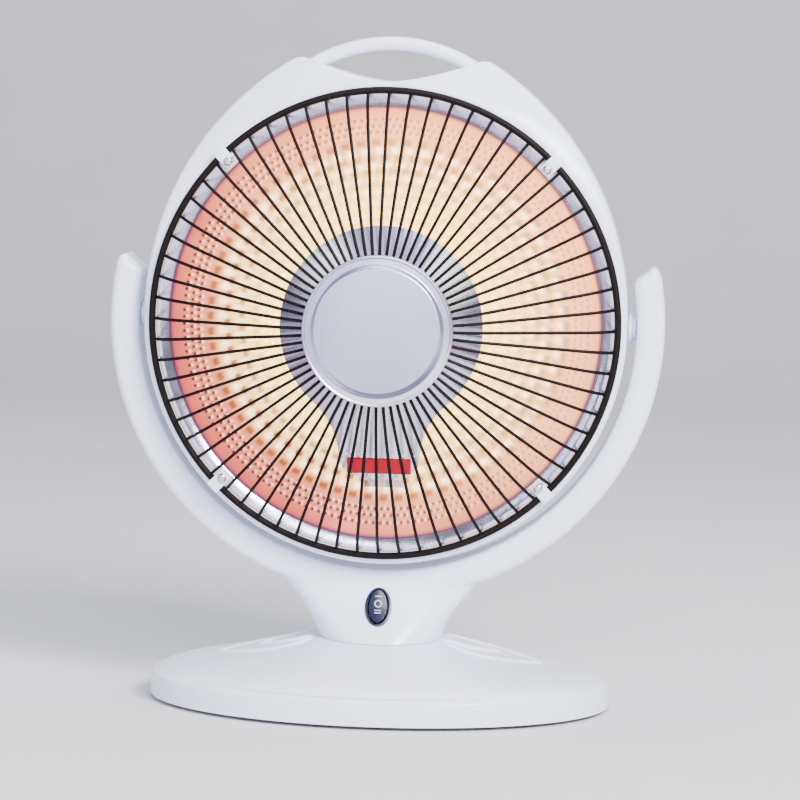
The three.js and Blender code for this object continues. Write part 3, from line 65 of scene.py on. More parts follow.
class Axis(Enum):
    """Direction in which a turned piece runs, as the turn that brings it there from upright."""

    UP = (0.0, 0.0, 0.0)
    BACK = (-math.pi / 2, 0.0, 0.0)
    ACROSS = (0.0, math.pi / 2, 0.0)


class Body(Enum):
    """Moving bodies of the heater."""

    FOOT = "foot_base"
    YOKE = "yoke"
    ROCKER = "rocker"
    HEAD = "head"


class Slot(Enum):
    """Finishes named in the part's record."""

    WHITE = "white_plastic"
    NAVY = "switch_navy"
    RUBBER = "rubber"
    SCREW = "screw_steel"
    DISH = "dish_aluminium"
    CERAMIC = "element_ceramic"
    WIRE = "resistance_wire"
    CHROME = "shield_chrome"
    RED = "band_red"
    GUARD = "guard_black"
    DISC = "disc_steel"


# ---------------------------------------------------------------- modelling moves
class Bench:
    """Modelling moves that the pieces share."""

    @staticmethod
    def clear() -> None:
        """Leave edit mode with nothing selected."""
        if bpy.context.mode != "OBJECT":
            bpy.ops.object.mode_set(mode="OBJECT")
        bpy.ops.object.select_all(action="DESELECT")

    @staticmethod
    def hold(obj: Piece) -> Piece:
        """Select one piece alone and make it active.

        Args:
            obj: The piece.

        Returns:
            The same piece.
        """
        Bench.clear()
        obj.select_set(True)
        bpy.context.view_layer.objects.active = obj
        return obj

    @staticmethod
    def named(name: str) -> Piece:
        """Give the newest piece and its mesh a name.

        Args:
            name: Its name.

        Returns:
            The newest piece.
        """
        obj = bpy.context.object
        obj.name = name
        obj.data.name = name
        return obj

    @staticmethod
    def settle(
        obj: Piece, place: Sequence[float] = (0, 0, 0), lean: float = 0.0, axis: Axis = Axis.UP,
    ) -> Piece:
        """Turn a piece that was made upright to its axis, lean it about X, and move it to its place.

        Args:
            obj: The piece, made about the origin.
            place: Where its origin goes, in millimetres.
            lean: Turn about X after the axis, in radians.
            axis: Direction that its upright takes.

        Returns:
            The same piece, with its place in its mesh.
        """
        Bench.hold(obj)
        turn = Matrix.Rotation(lean, 4, "X") @ Matrix.Rotation(axis.value[1], 4, "Y")
        turn = turn @ Matrix.Rotation(axis.value[0], 4, "X")
        obj.matrix_world = Matrix.Translation(Vector(place)) @ turn
        bpy.ops.object.transform_apply(location=True, rotation=True, scale=True)
        return obj

    @staticmethod
    def lofted(
        name: str, rings: Sequence[tuple[float, float, float]], sides: int, closed: bool = False,
    ) -> Piece:
        """Raise a ring from one oval to the next.

        Args:
            name: Name of the piece.
            rings: Half width, half depth and height of each oval; a half width of 0 is a pole.
            sides: Corners of every oval.
            closed: Whether the last oval joins the first.

        Returns:
            The upright piece.
        """
        Bench.clear()
        first = next(i for i, ring in enumerate(rings) if ring[0] > 0)
        wide, deep, height = rings[first]
        bpy.ops.mesh.primitive_circle_add(vertices=sides, radius=wide, location=(0, 0, 0))
        obj = Bench.named(name)
        bpy.ops.object.mode_set(mode="EDIT")
        bpy.ops.mesh.select_all(action="SELECT")
        bpy.ops.transform.resize(value=(1, deep / wide, 1), center_override=(0, 0, 0))
        bpy.ops.transform.translate(value=(0, 0, height))
        for ring in rings[first + 1:]:
            Bench.raise_ring((wide, deep, height), ring)
            if ring[0] > 0:
                wide, deep, height = ring
        if closed or first > 0:
            Bench.pick(obj, lambda index, co: index < sides, keep=closed)
            if closed:
                bpy.ops.mesh.bridge_edge_loops()
            else:
                Bench.raise_ring(rings[first], rings[0])
        return Bench.weld(obj, closed=True)

    @staticmethod
    def raise_ring(old: Sequence[float], new: Sequence[float]) -> None:
        """Extrude the selected ring from one oval to the next, or to a pole.

        Args:
            old: Half width, half depth and height of the ring that is selected.
            new: The same for the ring to make; a half width of 0 is a pole.
        """
        bpy.ops.mesh.extrude_region_move(TRANSFORM_OT_translate={"value": (0, 0, new[2] - old[2])})
        if new[0] > 0:
            size = (new[0] / old[0], new[1] / old[1], 1)
            bpy.ops.transform.resize(value=size, center_override=(0, 0, new[2]))
        else:
            bpy.ops.mesh.merge(type="CENTER")

    @staticmethod
    def pick(obj: Piece, test: Callable[[int, Vector], bool], keep: bool = False) -> None:
        """Select the corners that pass a test, in edit mode.

        Args:
            obj: The piece in edit mode.
            test: Says of a corner's number and place whether it is taken.
            keep: Whether corners selected already stay selected.
        """
        bpy.ops.object.mode_set(mode="OBJECT")
        for vertex in obj.data.vertices:
            vertex.select = (keep and vertex.select) or test(vertex.index, vertex.co)
        for part in (*obj.data.edges, *obj.data.polygons):
            part.select = False
        bpy.ops.object.mode_set(mode="EDIT")
        bpy.ops.mesh.select_mode(type="VERT")

    @staticmethod
    def turned(
        name: str, profile: Sequence[tuple[float, float]], sides: int, closed: bool = False,
    ) -> Piece:
        """Turn a profile of radius and height pairs on the lathe."""
        return Bench.lofted(name, [(r, r, h) for r, h in profile], sides, closed)

    @staticmethod
    def drawn(name: str, across: int, along: int, surface: Surface, closed: bool = False) -> Piece:
        """Lay a grid and draw it onto a surface.

        Args:
            name: Name of the piece.
            across: Steps of the surface's first measure.
            along: Steps of its second.
            surface: Gives the places for both measures, each from 0 to 1.
            closed: Whether the surface is a closed shell, whose faces are then set outwards.

        Returns:
            The piece with its doubles merged.
        """
        Bench.clear()
        bpy.ops.mesh.primitive_grid_add(
            x_subdivisions=across, y_subdivisions=along, size=1, location=(0, 0, 0),
        )
        obj = Bench.named(name)
        flat = np.empty(len(obj.data.vertices) * 3)
        obj.data.vertices.foreach_get("co", flat)
        u = np.round((flat[0::3] + 0.5) * across) / across
        v = np.round((flat[1::3] + 0.5) * along) / along
        obj.data.vertices.foreach_set("co", np.ascontiguousarray(surface(u, v), float).ravel())
        obj.data.update()
        return Bench.weld(obj, closed)

    @staticmethod
    def weld(obj: Piece, closed: bool) -> Piece:
        """Merge a piece's doubles and, on a closed shell, set its faces outwards.

        Args:
            obj: The piece.
            closed: Whether it is a closed shell.

        Returns:
            The same piece.
        """
        Bench.hold(obj)
        bpy.ops.object.mode_set(mode="EDIT")
        bpy.ops.mesh.select_mode(type="VERT")
        bpy.ops.mesh.select_all(action="SELECT")
        bpy.ops.mesh.remove_doubles(threshold=WELD)
        bpy.ops.mesh.dissolve_degenerate(threshold=WELD / 4)
        if closed:
            bpy.ops.mesh.normals_make_consistent(inside=False)
        bpy.ops.object.mode_set(mode="OBJECT")
        return obj

    @staticmethod
    def face(obj: Piece, away: Vector) -> Piece:
        """Turn an open sheet's faces away from a point.

        Args:
            obj: The sheet.
            away: Point that its faces turn away from.

        Returns:
            The same piece.
        """
        lean = sum((face.center - away).dot(face.normal) * face.area for face in obj.data.polygons)
        if lean < 0:
            Bench.hold(obj)
            bpy.ops.object.mode_set(mode="EDIT")
            bpy.ops.mesh.select_all(action="SELECT")
            bpy.ops.mesh.flip_normals()
            bpy.ops.object.mode_set(mode="OBJECT")
        return obj

    @staticmethod
    def modify(obj: Piece, kind: str, **settings: object) -> Piece:
        """Add a modifier with its settings and apply it.

        Args:
            obj: The piece.
            kind: Blender's name of the modifier.
            **settings: Its settings.

        Returns:
            The same piece.
        """
        Bench.hold(obj)
        bpy.ops.object.modifier_add(type=kind)
        modifier = obj.modifiers[-1]
        for key, value in settings.items():
            setattr(modifier, key, value)
        bpy.ops.object.modifier_apply(modifier=modifier.name)
        return obj

    @staticmethod
    def eased(obj: Piece, width: float, segments: int = 3) -> Piece:
        """Round a piece's sharp edges.

        Args:
            obj: The piece.
            width: Width of the rounding.
            segments: Faces across it.

        Returns:
            The same piece.
        """
        return Bench.modify(
            obj, "BEVEL", width=width, segments=segments, limit_method="ANGLE", angle_limit=FINE_ANGLE,
        )

    @staticmethod
    def cut(obj: Piece, tool: Piece) -> Piece:
        """Cut one piece away from another.

        Args:
            obj: The piece that stays.
            tool: The piece that is cut away and removed.

        Returns:
            The piece that stays.
        """
        Bench.modify(obj, "BOOLEAN", operation="DIFFERENCE", object=tool, solver="EXACT")
        bpy.data.objects.remove(tool)
        return obj

    @staticmethod
    def joined(name: str, parts: Sequence[Piece]) -> Piece:
        """Make several pieces one.

        Args:
            name: Name of the whole.
            parts: The pieces, the first of which takes in the others.

        Returns:
            The whole.
        """
        Bench.clear()
        for part in parts:
            part.select_set(True)
        bpy.context.view_layer.objects.active = parts[0]
        bpy.ops.object.join()
        return Bench.named(name)

    @staticmethod
    def copied(obj: Piece, turn: Matrix) -> Piece:
        """Copy a piece with a mesh of its own and carry it by a turn.

        Args:
            obj: The piece that is copied.
            turn: Turn of the copy.

        Returns:
            The copy.
        """
        Bench.hold(obj)
        bpy.ops.object.duplicate(linked=False)
        twin = bpy.context.object
        twin.matrix_world = turn
        bpy.ops.object.transform_apply(location=True, rotation=True, scale=True)
        return twin

    @staticmethod
    def turned_to(obj: Piece, degrees: float) -> Piece:
        """Turn a piece about the head's axis, from the +X side towards the top.

        Args:
            obj: The piece, made on the +X side.
            degrees: The turn.

        Returns:
            The same piece.
        """
        Bench.hold(obj)
        obj.matrix_world = Matrix.Rotation(-math.radians(degrees), 4, "Y")
        bpy.ops.object.transform_apply(location=True, rotation=True, scale=True)
        return obj

    @staticmethod
    def middle(node: str) -> Vector:
        """Middle of a CAD node's box, in millimetres."""
        low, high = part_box(node)
        return (low + high) / 2 / MM

    @staticmethod
    def box(name: str, low: Sequence[float], high: Sequence[float], edge: float) -> Piece:
        """A block between two corners with eased edges.

        Args:
            name: Name of the block.
            low: Its lowest corner.
            high: Its highest corner.
            edge: Width of its rounding.

        Returns:
            The block.
        """
        Bench.clear()
        middle = [(a + b) / 2 for a, b in zip(low, high)]
        size = [b - a for a, b in zip(low, high)]
        bpy.ops.mesh.primitive_cube_add(size=1, location=middle, scale=size)
        obj = Bench.named(name)
        bpy.ops.object.transform_apply(location=True, rotation=True, scale=True)
        return Bench.eased(obj, edge)

    @staticmethod
    def tube(name: str, points: Sequence[Sequence[float]], radius: float, sides: int) -> Piece:
        """A round rod along a line of points.

        Args:
            name: Name of the piece.
            points: Centre line.
            radius: Radius of the rod.
            sides: Faces round it.

        Returns:
            The rod as a mesh with capped ends.
        """
        Bench.clear()
        bpy.ops.curve.primitive_nurbs_path_add(location=(0, 0, 0))
        curve = bpy.context.object
        curve.data.splines.clear()
        spline = curve.data.splines.new("POLY")
        spline.points.add(len(points) - 1)
        spline.points.foreach_set("co", [value for point in points for value in (*point, 1.0)])
        curve.data.dimensions = "3D"
        curve.data.bevel_depth = radius
        curve.data.bevel_resolution = max(sides // 4 - 1, 0)
        curve.data.use_fill_caps = True
        bpy.ops.object.convert(target="MESH")
        return Bench.weld(Bench.named(name), closed=True)

    @staticmethod
    def hand_over(
        obj: Piece, body: Body, slot: Slot, finish: bpy.types.Material, nodes: Iterable[str],
        lift: float = 0.0,
    ) -> Piece:
        """Bring a finished piece to metres and give it its body, its finish and the nodes it stands for.

        Args:
            obj: The piece, in millimetres.
            body: Body that it moves with.
            slot: Slot of the record that its finish belongs to; not used.
            finish: Its material.
            nodes: CAD nodes that it stands for.
            lift: Height of its own origin above the floor.

        Returns:
            The piece in its final place.
        """
        Bench.hold(obj)
        obj.matrix_world = Matrix.Translation((0, 0, lift * MM)) @ Matrix.Scale(MM, 4)
        bpy.ops.object.transform_apply(location=True, rotation=True, scale=True)
        bpy.ops.object.shade_smooth_by_angle(angle=FINE_ANGLE)
        obj.data.materials.clear()
        obj.data.materials.append(finish)
        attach(obj, body.value)
        if nodes:
            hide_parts(*nodes)
        LOG.info("%s: %d faces on %s", obj.name, len(obj.data.polygons), body.value)
        return obj


# ---------------------------------------------------------------- finishes
class Graph:
    """Nodes of one material or group."""

    def __init__(self, tree: bpy.types.NodeTree) -> None:
        """Start on a tree."""
        self.tree = tree

    def add(
        self, kind: str, inputs: dict[str | int, object] | None = None, **settings: object,
    ) -> bpy.types.Node:
        """Add a node.

        Args:
            kind: Blender's name of the node.
            inputs: Socket names or numbers with a value, or with the output that feeds them.
            **settings: The node's own settings.

        Returns:
            The node.
        """
        node = self.tree.nodes.new(kind)
        for key, value in settings.items():
            setattr(node, key, value)
        for key, value in (inputs or {}).items():
            if isinstance(value, bpy.types.NodeSocket):
                self.tree.links.new(value, node.inputs[key])
            else:
                node.inputs[key].default_value = value
        return node

    def place(
        self, centre: Sequence[float] = (0, 0, 0), stretch: Sequence[float] = (1, 1, 1),
    ) -> bpy.types.NodeSocket:
        """Object coordinates measured from a centre, stretched along each axis.

        Args:
            centre: Place that counts as the origin, in metres.
            stretch: Scale along each axis.

        Returns:
            The coordinates.
        """
        coordinates = self.add("ShaderNodeTexCoord").outputs["Object"]
        shift = [-c * s for c, s in zip(centre, stretch)]
        mapping = self.add(
            "ShaderNodeMapping", {"Vector": coordinates, "Location": shift, "Scale": stretch},
        )
        return mapping.outputs["Vector"]

    def about(self, height: float) -> tuple:
        """Coordinates about the tilt axis.

        Args:
            height: Height of the axis above the floor, in metres.

        Returns:
            The place, its three axes, and its distance from the front-to-back line through the middle.
        """
        place = self.place(centre=(0, 0, height))
        axes = self.add("ShaderNodeSeparateXYZ", {0: place}).outputs
        squares = [self.maths("POWER", axes[i], 2.0) for i in (0, 2)]
        return place, axes, self.maths("SQRT", self.maths("ADD", *squares))

    def maths(self, operation: str, *values: object) -> bpy.types.NodeSocket:
        """The result of one sum."""
        return self.add("ShaderNodeMath", dict(enumerate(values)), operation=operation).outputs[0]

    def noise(self, vector: bpy.types.NodeSocket, scale: float, detail: float = 3.0) -> bpy.types.NodeSocket:
        """A noise value over a vector.

        Args:
            vector: Coordinates that it reads.
            scale: Its scale.
            detail: Its finer layers.

        Returns:
            The value, about 0.5.
        """
        return self.add(
            "ShaderNodeTexNoise", {"Vector": vector, "Scale": scale, "Detail": detail},
        ).outputs["Fac"]

    def ranged(
        self, value: object, low: float, high: float, bottom: float, top: float,
    ) -> bpy.types.NodeSocket:
        """A value brought from one range to another and held there.

        Args:
            value: The value.
            low: Where the range starts.
            high: Where it ends.
            bottom: Result at its start.
            top: Result at its end.

        Returns:
            The result.
        """
        return self.add("ShaderNodeMapRange", {
            "Value": value, "From Min": low, "From Max": high, "To Min": bottom, "To Max": top,
        }).outputs["Result"]

    def ramped(self, value: object, stops: Sequence[tuple[float, float]]) -> bpy.types.NodeSocket:
        """A value led through several stops, straight between them.

        Args:
            value: The value.
            stops: Value and result at each stop.

        Returns:
            The result.
        """
        result: object = stops[0][1]
        for (low, bottom), (high, top) in zip(stops, stops[1:]):
            result = self.maths("ADD", result, self.ranged(value, low, high, 0.0, top - bottom))
        return result

    def mixed(self, share: object, first: object, second: object) -> bpy.types.NodeSocket:
        """A colour between two.

        Args:
            share: Share of the second colour.
            first: The first colour.
            second: The second.

        Returns:
            The colour.
        """
        return self.add(
            "ShaderNodeMix", {0: share, 6: first, 7: second}, data_type="RGBA",
        ).outputs[2]


class SkinGroup:
    """Shared effect of a moulded or cast skin: clouding, uneven gloss and fine relief."""

    NAME = "moulded_skin"

    @classmethod
    def build(cls) -> bpy.types.NodeTree:
        """Build the group, or find the one already built.

        Returns:
            The group.
        """
        if cls.NAME in bpy.data.node_groups:
            return bpy.data.node_groups[cls.NAME]
        tree = bpy.data.node_groups.new(cls.NAME, "ShaderNodeTree")
        for name, kind in (
            ("Vector", "Vector"), ("Base", "Color"), ("Shade", "Color"), ("Grain", "Float"),
            ("Gloss Low", "Float"), ("Gloss High", "Float"), ("Relief", "Float"),
        ):
            tree.interface.new_socket(name, in_out="INPUT", socket_type=f"NodeSocket{kind}")
        for name, kind in (("Colour", "Color"), ("Roughness", "Float"), ("Normal", "Vector")):
            tree.interface.new_socket(name, in_out="OUTPUT", socket_type=f"NodeSocket{kind}")
        graph = Graph(tree)
        given = graph.add("NodeGroupInput").outputs
        cloud = graph.noise(given["Vector"], 9.0, 4.0)
        colour = graph.mixed(graph.ranged(cloud, 0.35, 0.65, 0.0, 1.0), given["Base"], given["Shade"])
        smear = graph.noise(given["Vector"], 46.0, 5.0)
        gloss = graph.add("ShaderNodeMapRange", {
            "Value": smear, "From Min": 0.3, "From Max": 0.7,
            "To Min": given["Gloss Low"], "To Max": given["Gloss High"],
        }).outputs["Result"]
        grain = graph.add(
            "ShaderNodeTexNoise", {"Vector": given["Vector"], "Scale": given["Grain"], "Detail": 2.0},
        )
        bump = graph.add("ShaderNodeBump", {
            "Strength": given["Relief"], "Distance": 0.0004, "Height": grain.outputs["Fac"],
        })
        graph.add(
            "NodeGroupOutput", {"Colour": colour, "Roughness": gloss, "Normal": bump.outputs["Normal"]},
        )
        return tree


@dataclass(frozen=True)
class Finish:
    """One finish of the heater: its colour, gloss, skin and, for a metal, its drawn grain.

    Attributes:
        name: Name of the material.
        base: Main colour.
        shade: Colour of its clouding.
        gloss: Lowest and highest roughness.
        grain: Fine relief's scale, per metre.
        relief: Strength of that relief.
        metal: Metallic share.
        coat: Clear coat's weight.
        stretch: Stretch of the grain along each axis.
        shine: Strength of a plastic's reflection.
    """

    name: str
    base: tuple[float, float, float]
    shade: tuple[float, float, float]
    gloss: tuple[float, float]
    grain: float = 900.0
    relief: float = 0.1
    metal: float = 0.0
    coat: float = 0.0
    stretch: tuple[float, float, float] = (1.0, 1.0, 1.0)
    shine: float = 0.5

    def start(self) -> tuple[bpy.types.Material, Graph, bpy.types.Node, bpy.types.Node]:
        """Make the material with its skin joined to a shader.

        Returns:
            The material, its graph, its shader and its skin.
        """
        material = bpy.data.materials.new(self.name)
        material.use_nodes = True
        material.node_tree.nodes.clear()
        graph = Graph(material.node_tree)
        skin = graph.add("ShaderNodeGroup", node_tree=SkinGroup.build())
        values = {
            "Vector": graph.place(stretch=self.stretch),
            "Base": (*self.base, 1), "Shade": (*self.shade, 1),
            "Grain": self.grain, "Relief": self.relief,
            "Gloss Low": self.gloss[0], "Gloss High": self.gloss[1],
        }
        for key, value in values.items():
            if isinstance(value, bpy.types.NodeSocket):
                graph.tree.links.new(value, skin.inputs[key])
            else:
                skin.inputs[key].default_value = value
        shader = graph.add("ShaderNodeBsdfPrincipled", {
            "Base Color": skin.outputs["Colour"], "Roughness": skin.outputs["Roughness"],
            "Normal": skin.outputs["Normal"], "Metallic": self.metal, "Coat Weight": self.coat,
            "Coat Roughness": 0.08, "Specular IOR Level": self.shine,
        })
        graph.add("ShaderNodeOutputMaterial", {"Surface": shader.outputs["BSDF"]})
        return material, graph, shader, skin

    def make(self) -> bpy.types.Material:
        """The material alone."""
        return self.start()[0]


@dataclass(frozen=True)
class PaintedGlowDish:
    """Bright aluminium with the element's warm glow painted on: a painted reflection given as emission and
    base colour, with painted shade and highlights on its embossing.

    Attributes:
        lit_radius: Radius of the lit part.
        axis_height: Height of the tilt axis.
        strength: Strength of the painted glow's emission.
        cool_zones: Share of the lit radius and colour of the painted glow, on the side that stays pale,
            ending in a dark line painted as shade at the dish's edge.
        warm_zones: The same on the side that reddens.
        reach: Distance from the axis and how strongly the painted shade and highlight of the large dimples
            show there.
    """

    lit_radius: float = 0.1388
    axis_height: float = 0.25
    strength: float = 3.9
    cool_zones: tuple[tuple[float, tuple[float, float, float]], ...] = (
        (0.0, (1.0, 0.78, 0.20)), (0.50, (1.0, 0.72, 0.19)), (0.66, (0.92, 0.55, 0.17)),
        (0.84, (0.80, 0.38, 0.15)), (0.982, (0.66, 0.27, 0.12)), (1.0, (0.05, 0.01, 0.06)),
    )
    warm_zones: tuple[tuple[float, tuple[float, float, float]], ...] = (
        (0.0, (1.0, 0.88, 0.20)), (0.60, (1.0, 0.85, 0.22)), (0.76, (0.88, 0.52, 0.17)),
        (0.85, (0.52, 0.145, 0.085)), (0.982, (0.38, 0.060, 0.045)), (1.0, (0.022, 0.003, 0.045)),
    )
    reach: tuple[tuple[float, float], ...] = (
        (0.055, 0.10), (0.078, 0.18), (0.088, 0.42), (0.096, 0.80), (0.104, 1.0),
    )

    @staticmethod
    def ramp(graph: Graph, value: bpy.types.NodeSocket, zones: Sequence) -> bpy.types.NodeSocket:
        """A colour ramp over a value.

        Args:
            graph: The nodes that it joins.
            value: The value.
            zones: Value and colour at each stop.

        Returns:
            The colour.
        """
        node = graph.add("ShaderNodeValToRGB", {"Fac": value})
        stops = node.color_ramp.elements
        for stop, (spot, colour) in zip(stops, (zones[0], zones[-1])):
            stop.position, stop.color = spot, (*colour, 1)
        for spot, colour in zones[1:-1]:
            stops.new(spot).color = (*colour, 1)
        return node.outputs["Color"]

    def make(self) -> bpy.types.Material:
        """The dish's material: metal outside, and a painted reflection of the element's warm glow, given as
        emission, that reddens towards the edge.

        Returns:
            The material.
        """
        metal = Finish(
            "dish_aluminium", (0.60, 0.57, 0.74), (0.54, 0.50, 0.68), (0.16, 0.26), 700.0, 0.08, metal=1.0,
        )
        material, graph, shader, _ = metal.start()
        place, axes, radius = graph.about(self.axis_height)
        share = graph.maths("DIVIDE", radius, self.lit_radius)
        lit = graph.ranged(radius, self.lit_radius, self.lit_radius + 0.0008, 1.0, 0.0)
        # Painted reflection of the element's glow: redder towards the left and bottom, paler towards the
        # right and top, ending in a dark line painted as shade at the dish's edge.
        leans = [graph.maths("MULTIPLY", axes[i], slope) for i, slope in ((0, -0.9), (2, -0.5))]
        lean = graph.maths("ADD", *leans)
        cloud = graph.ranged(graph.noise(place, 14.0), 0.3, 0.7, -0.03, 0.03)
        side = graph.ranged(graph.maths("ADD", lean, cloud), -0.09, 0.11, 0.0, 1.0)
        glow = graph.mixed(side, *(self.ramp(graph, share, z) for z in (self.cool_zones, self.warm_zones)))
        # How strongly the painted shade in the dimples and dots shows: more on the redder side.
        depth = graph.ranged(side, 0.0, 1.0, 0.42, 0.95)
        reach = graph.ramped(radius, self.reach)
        # Painted highlight and painted shade on the large dimples, then a painted highlight and painted shade
        # on either side of each small dot.
        for mask, weight, colour in (
            ("dimple_highlight_mask", graph.maths("MULTIPLY", reach, 0.85), (1.0, 0.86, 0.62, 1)),
            ("dimple_shading_mask", graph.maths("MULTIPLY", reach, depth), (0.16, 0.022, 0.003, 1)),
            ("glint", graph.maths("MULTIPLY", depth, 0.7), (0.75, 0.50, 0.38, 1)),
            ("dot_shade_mask", graph.maths("MULTIPLY", depth, 0.97), (0.016, 0.002, 0.002, 1)),
        ):
            value = graph.add("ShaderNodeAttribute", attribute_name=mask).outputs["Fac"]
            glow = graph.mixed(graph.maths("MULTIPLY", value, weight), glow, colour)
        # The painted glow goes into the base colour and into the emission, so the dish shines with the
        # element's reflected light.
        tint = graph.mixed(0.5, glow, (0.10, 0.06, 0.05, 1))
        skin = graph.mixed(lit, (0.58, 0.55, 0.72, 1), tint)
        graph.tree.links.new(skin, shader.inputs["Base Color"])
        light = graph.mixed(lit, (0.0, 0.0, 0.0, 1), glow)
        graph.tree.links.new(light, shader.inputs["Emission Color"])
        shader.inputs["Emission Strength"].default_value = self.strength
        return material


@dataclass(frozen=True)
class SectorChrome:
    """Chrome with painted reflections: pale and lilac sectors round the head's axis, streaked down the stem.

    Attributes:
        axis_height: Height of the tilt axis.
        sectors: Share of a full turn from the left, downwards, and the colour of the painted reflection
            there.
    """

    axis_height: float = 0.25
    sectors: tuple[tuple[float, tuple[float, float, float]], ...] = (
        (0.0, (0.40, 0.36, 0.56)), (0.07, (0.42, 0.34, 0.50)), (0.15, (0.62, 0.54, 0.72)),
        (0.24, (0.90, 0.89, 0.98)), (0.36, (0.66, 0.64, 0.80)), (0.44, (0.58, 0.54, 0.70)),
        (0.465, (0.26, 0.16, 0.26)), (0.48, (0.52, 0.50, 0.68)), (0.53, (0.60, 0.60, 0.76)),
        (0.56, (1.0, 1.0, 1.0)), (0.64, (0.98, 0.98, 1.0)), (0.665, (0.58, 0.54, 0.76)),
        (0.73, (0.42, 0.40, 0.58)), (0.80, (0.34, 0.31, 0.50)), (0.83, (0.96, 0.96, 1.0)),
        (0.91, (0.90, 0.90, 0.99)), (0.94, (0.50, 0.47, 0.66)), (1.0, (0.40, 0.36, 0.56)),
    )

    def make(self) -> bpy.types.Material:
        """The shield's material.

        Returns:
            The material.
        """
        metal = Finish(
            "shield_chrome", (0.9, 0.9, 0.95), (0.8, 0.8, 0.9), (0.16, 0.24), 160.0, 0.04, metal=1.0,
        )
        material, graph, shader, _ = metal.start()
        place = graph.place(centre=(0, 0, self.axis_height))
        axes = graph.add("ShaderNodeSeparateXYZ", {0: place}).outputs
        turn = graph.maths("DIVIDE", graph.maths("ARCTAN2", axes[2], axes[0]), 2 * math.pi)
        # Painted reflections: pale and lilac sectors round the head's axis.
        sectors = PaintedGlowDish.ramp(graph, graph.maths("ADD", turn, 0.5), self.sectors)
        streaks = graph.noise(graph.place(stretch=(190.0, 1.0, 7.0)), 1.0, 3.0)
        low = graph.ranged(axes[2], -0.075, -0.052, 1.0, 0.0)
        dark = graph.maths("MULTIPLY", graph.ranged(streaks, 0.50, 0.66, 0.0, 0.8), low)
        skin = graph.mixed(dark, sectors, (0.20, 0.18, 0.34, 1))
        graph.tree.links.new(skin, shader.inputs["Base Color"])
        return material


@dataclass(frozen=True)
class BrushedDisc:
    """Steel brushed upright, with painted shade along the lower step of the plateau and a painted highlight
    on the rim below it.

    Attributes:
        axis_height: Height of the tilt axis.
        step: Inner and outer radius of the plateau's step.
    """

    axis_height: float = 0.25
    step: tuple[float, float] = (0.0388, 0.0418)

    def make(self) -> bpy.types.Material:
        """The disc's material.

        Returns:
            The material.
        """
        steel = Finish(
            "disc_steel", (0.53, 0.55, 0.70), (0.45, 0.47, 0.61), (0.26, 0.40), 1500.0, 0.3, metal=1.0,
            stretch=(1.0, 1.0, 0.02),
        )
        material, graph, shader, skin = steel.start()
        _, axes, radius = graph.about(self.axis_height)
        # Painted shade: a dark crescent on the plateau's step, on its lower side only, and a painted
        # highlight on the rim just outside the step, also on the lower side.
        low, high = self.step
        stops = ((low - 0.0005, 0.0), (low, 1.0), (high, 1.0), (high + 0.0006, 0.0))
        ring = graph.ramped(radius, stops)
        lean = graph.maths("MULTIPLY", axes[0], -0.25)
        under = graph.ranged(graph.maths("ADD", axes[2], lean), -0.036, -0.012, 1.0, 0.0)
        dark = graph.maths("MULTIPLY", ring, graph.maths("MULTIPLY", under, 0.85))
        rim = graph.maths("MULTIPLY", graph.ranged(radius, high, high + 0.0012, 0.0, 1.0), under)
        pale = graph.mixed(rim, skin.outputs["Colour"], (0.80, 0.81, 0.90, 1))
        colour = graph.mixed(dark, pale, (0.10, 0.10, 0.17, 1))
        graph.tree.links.new(colour, shader.inputs["Base Color"])
        return material


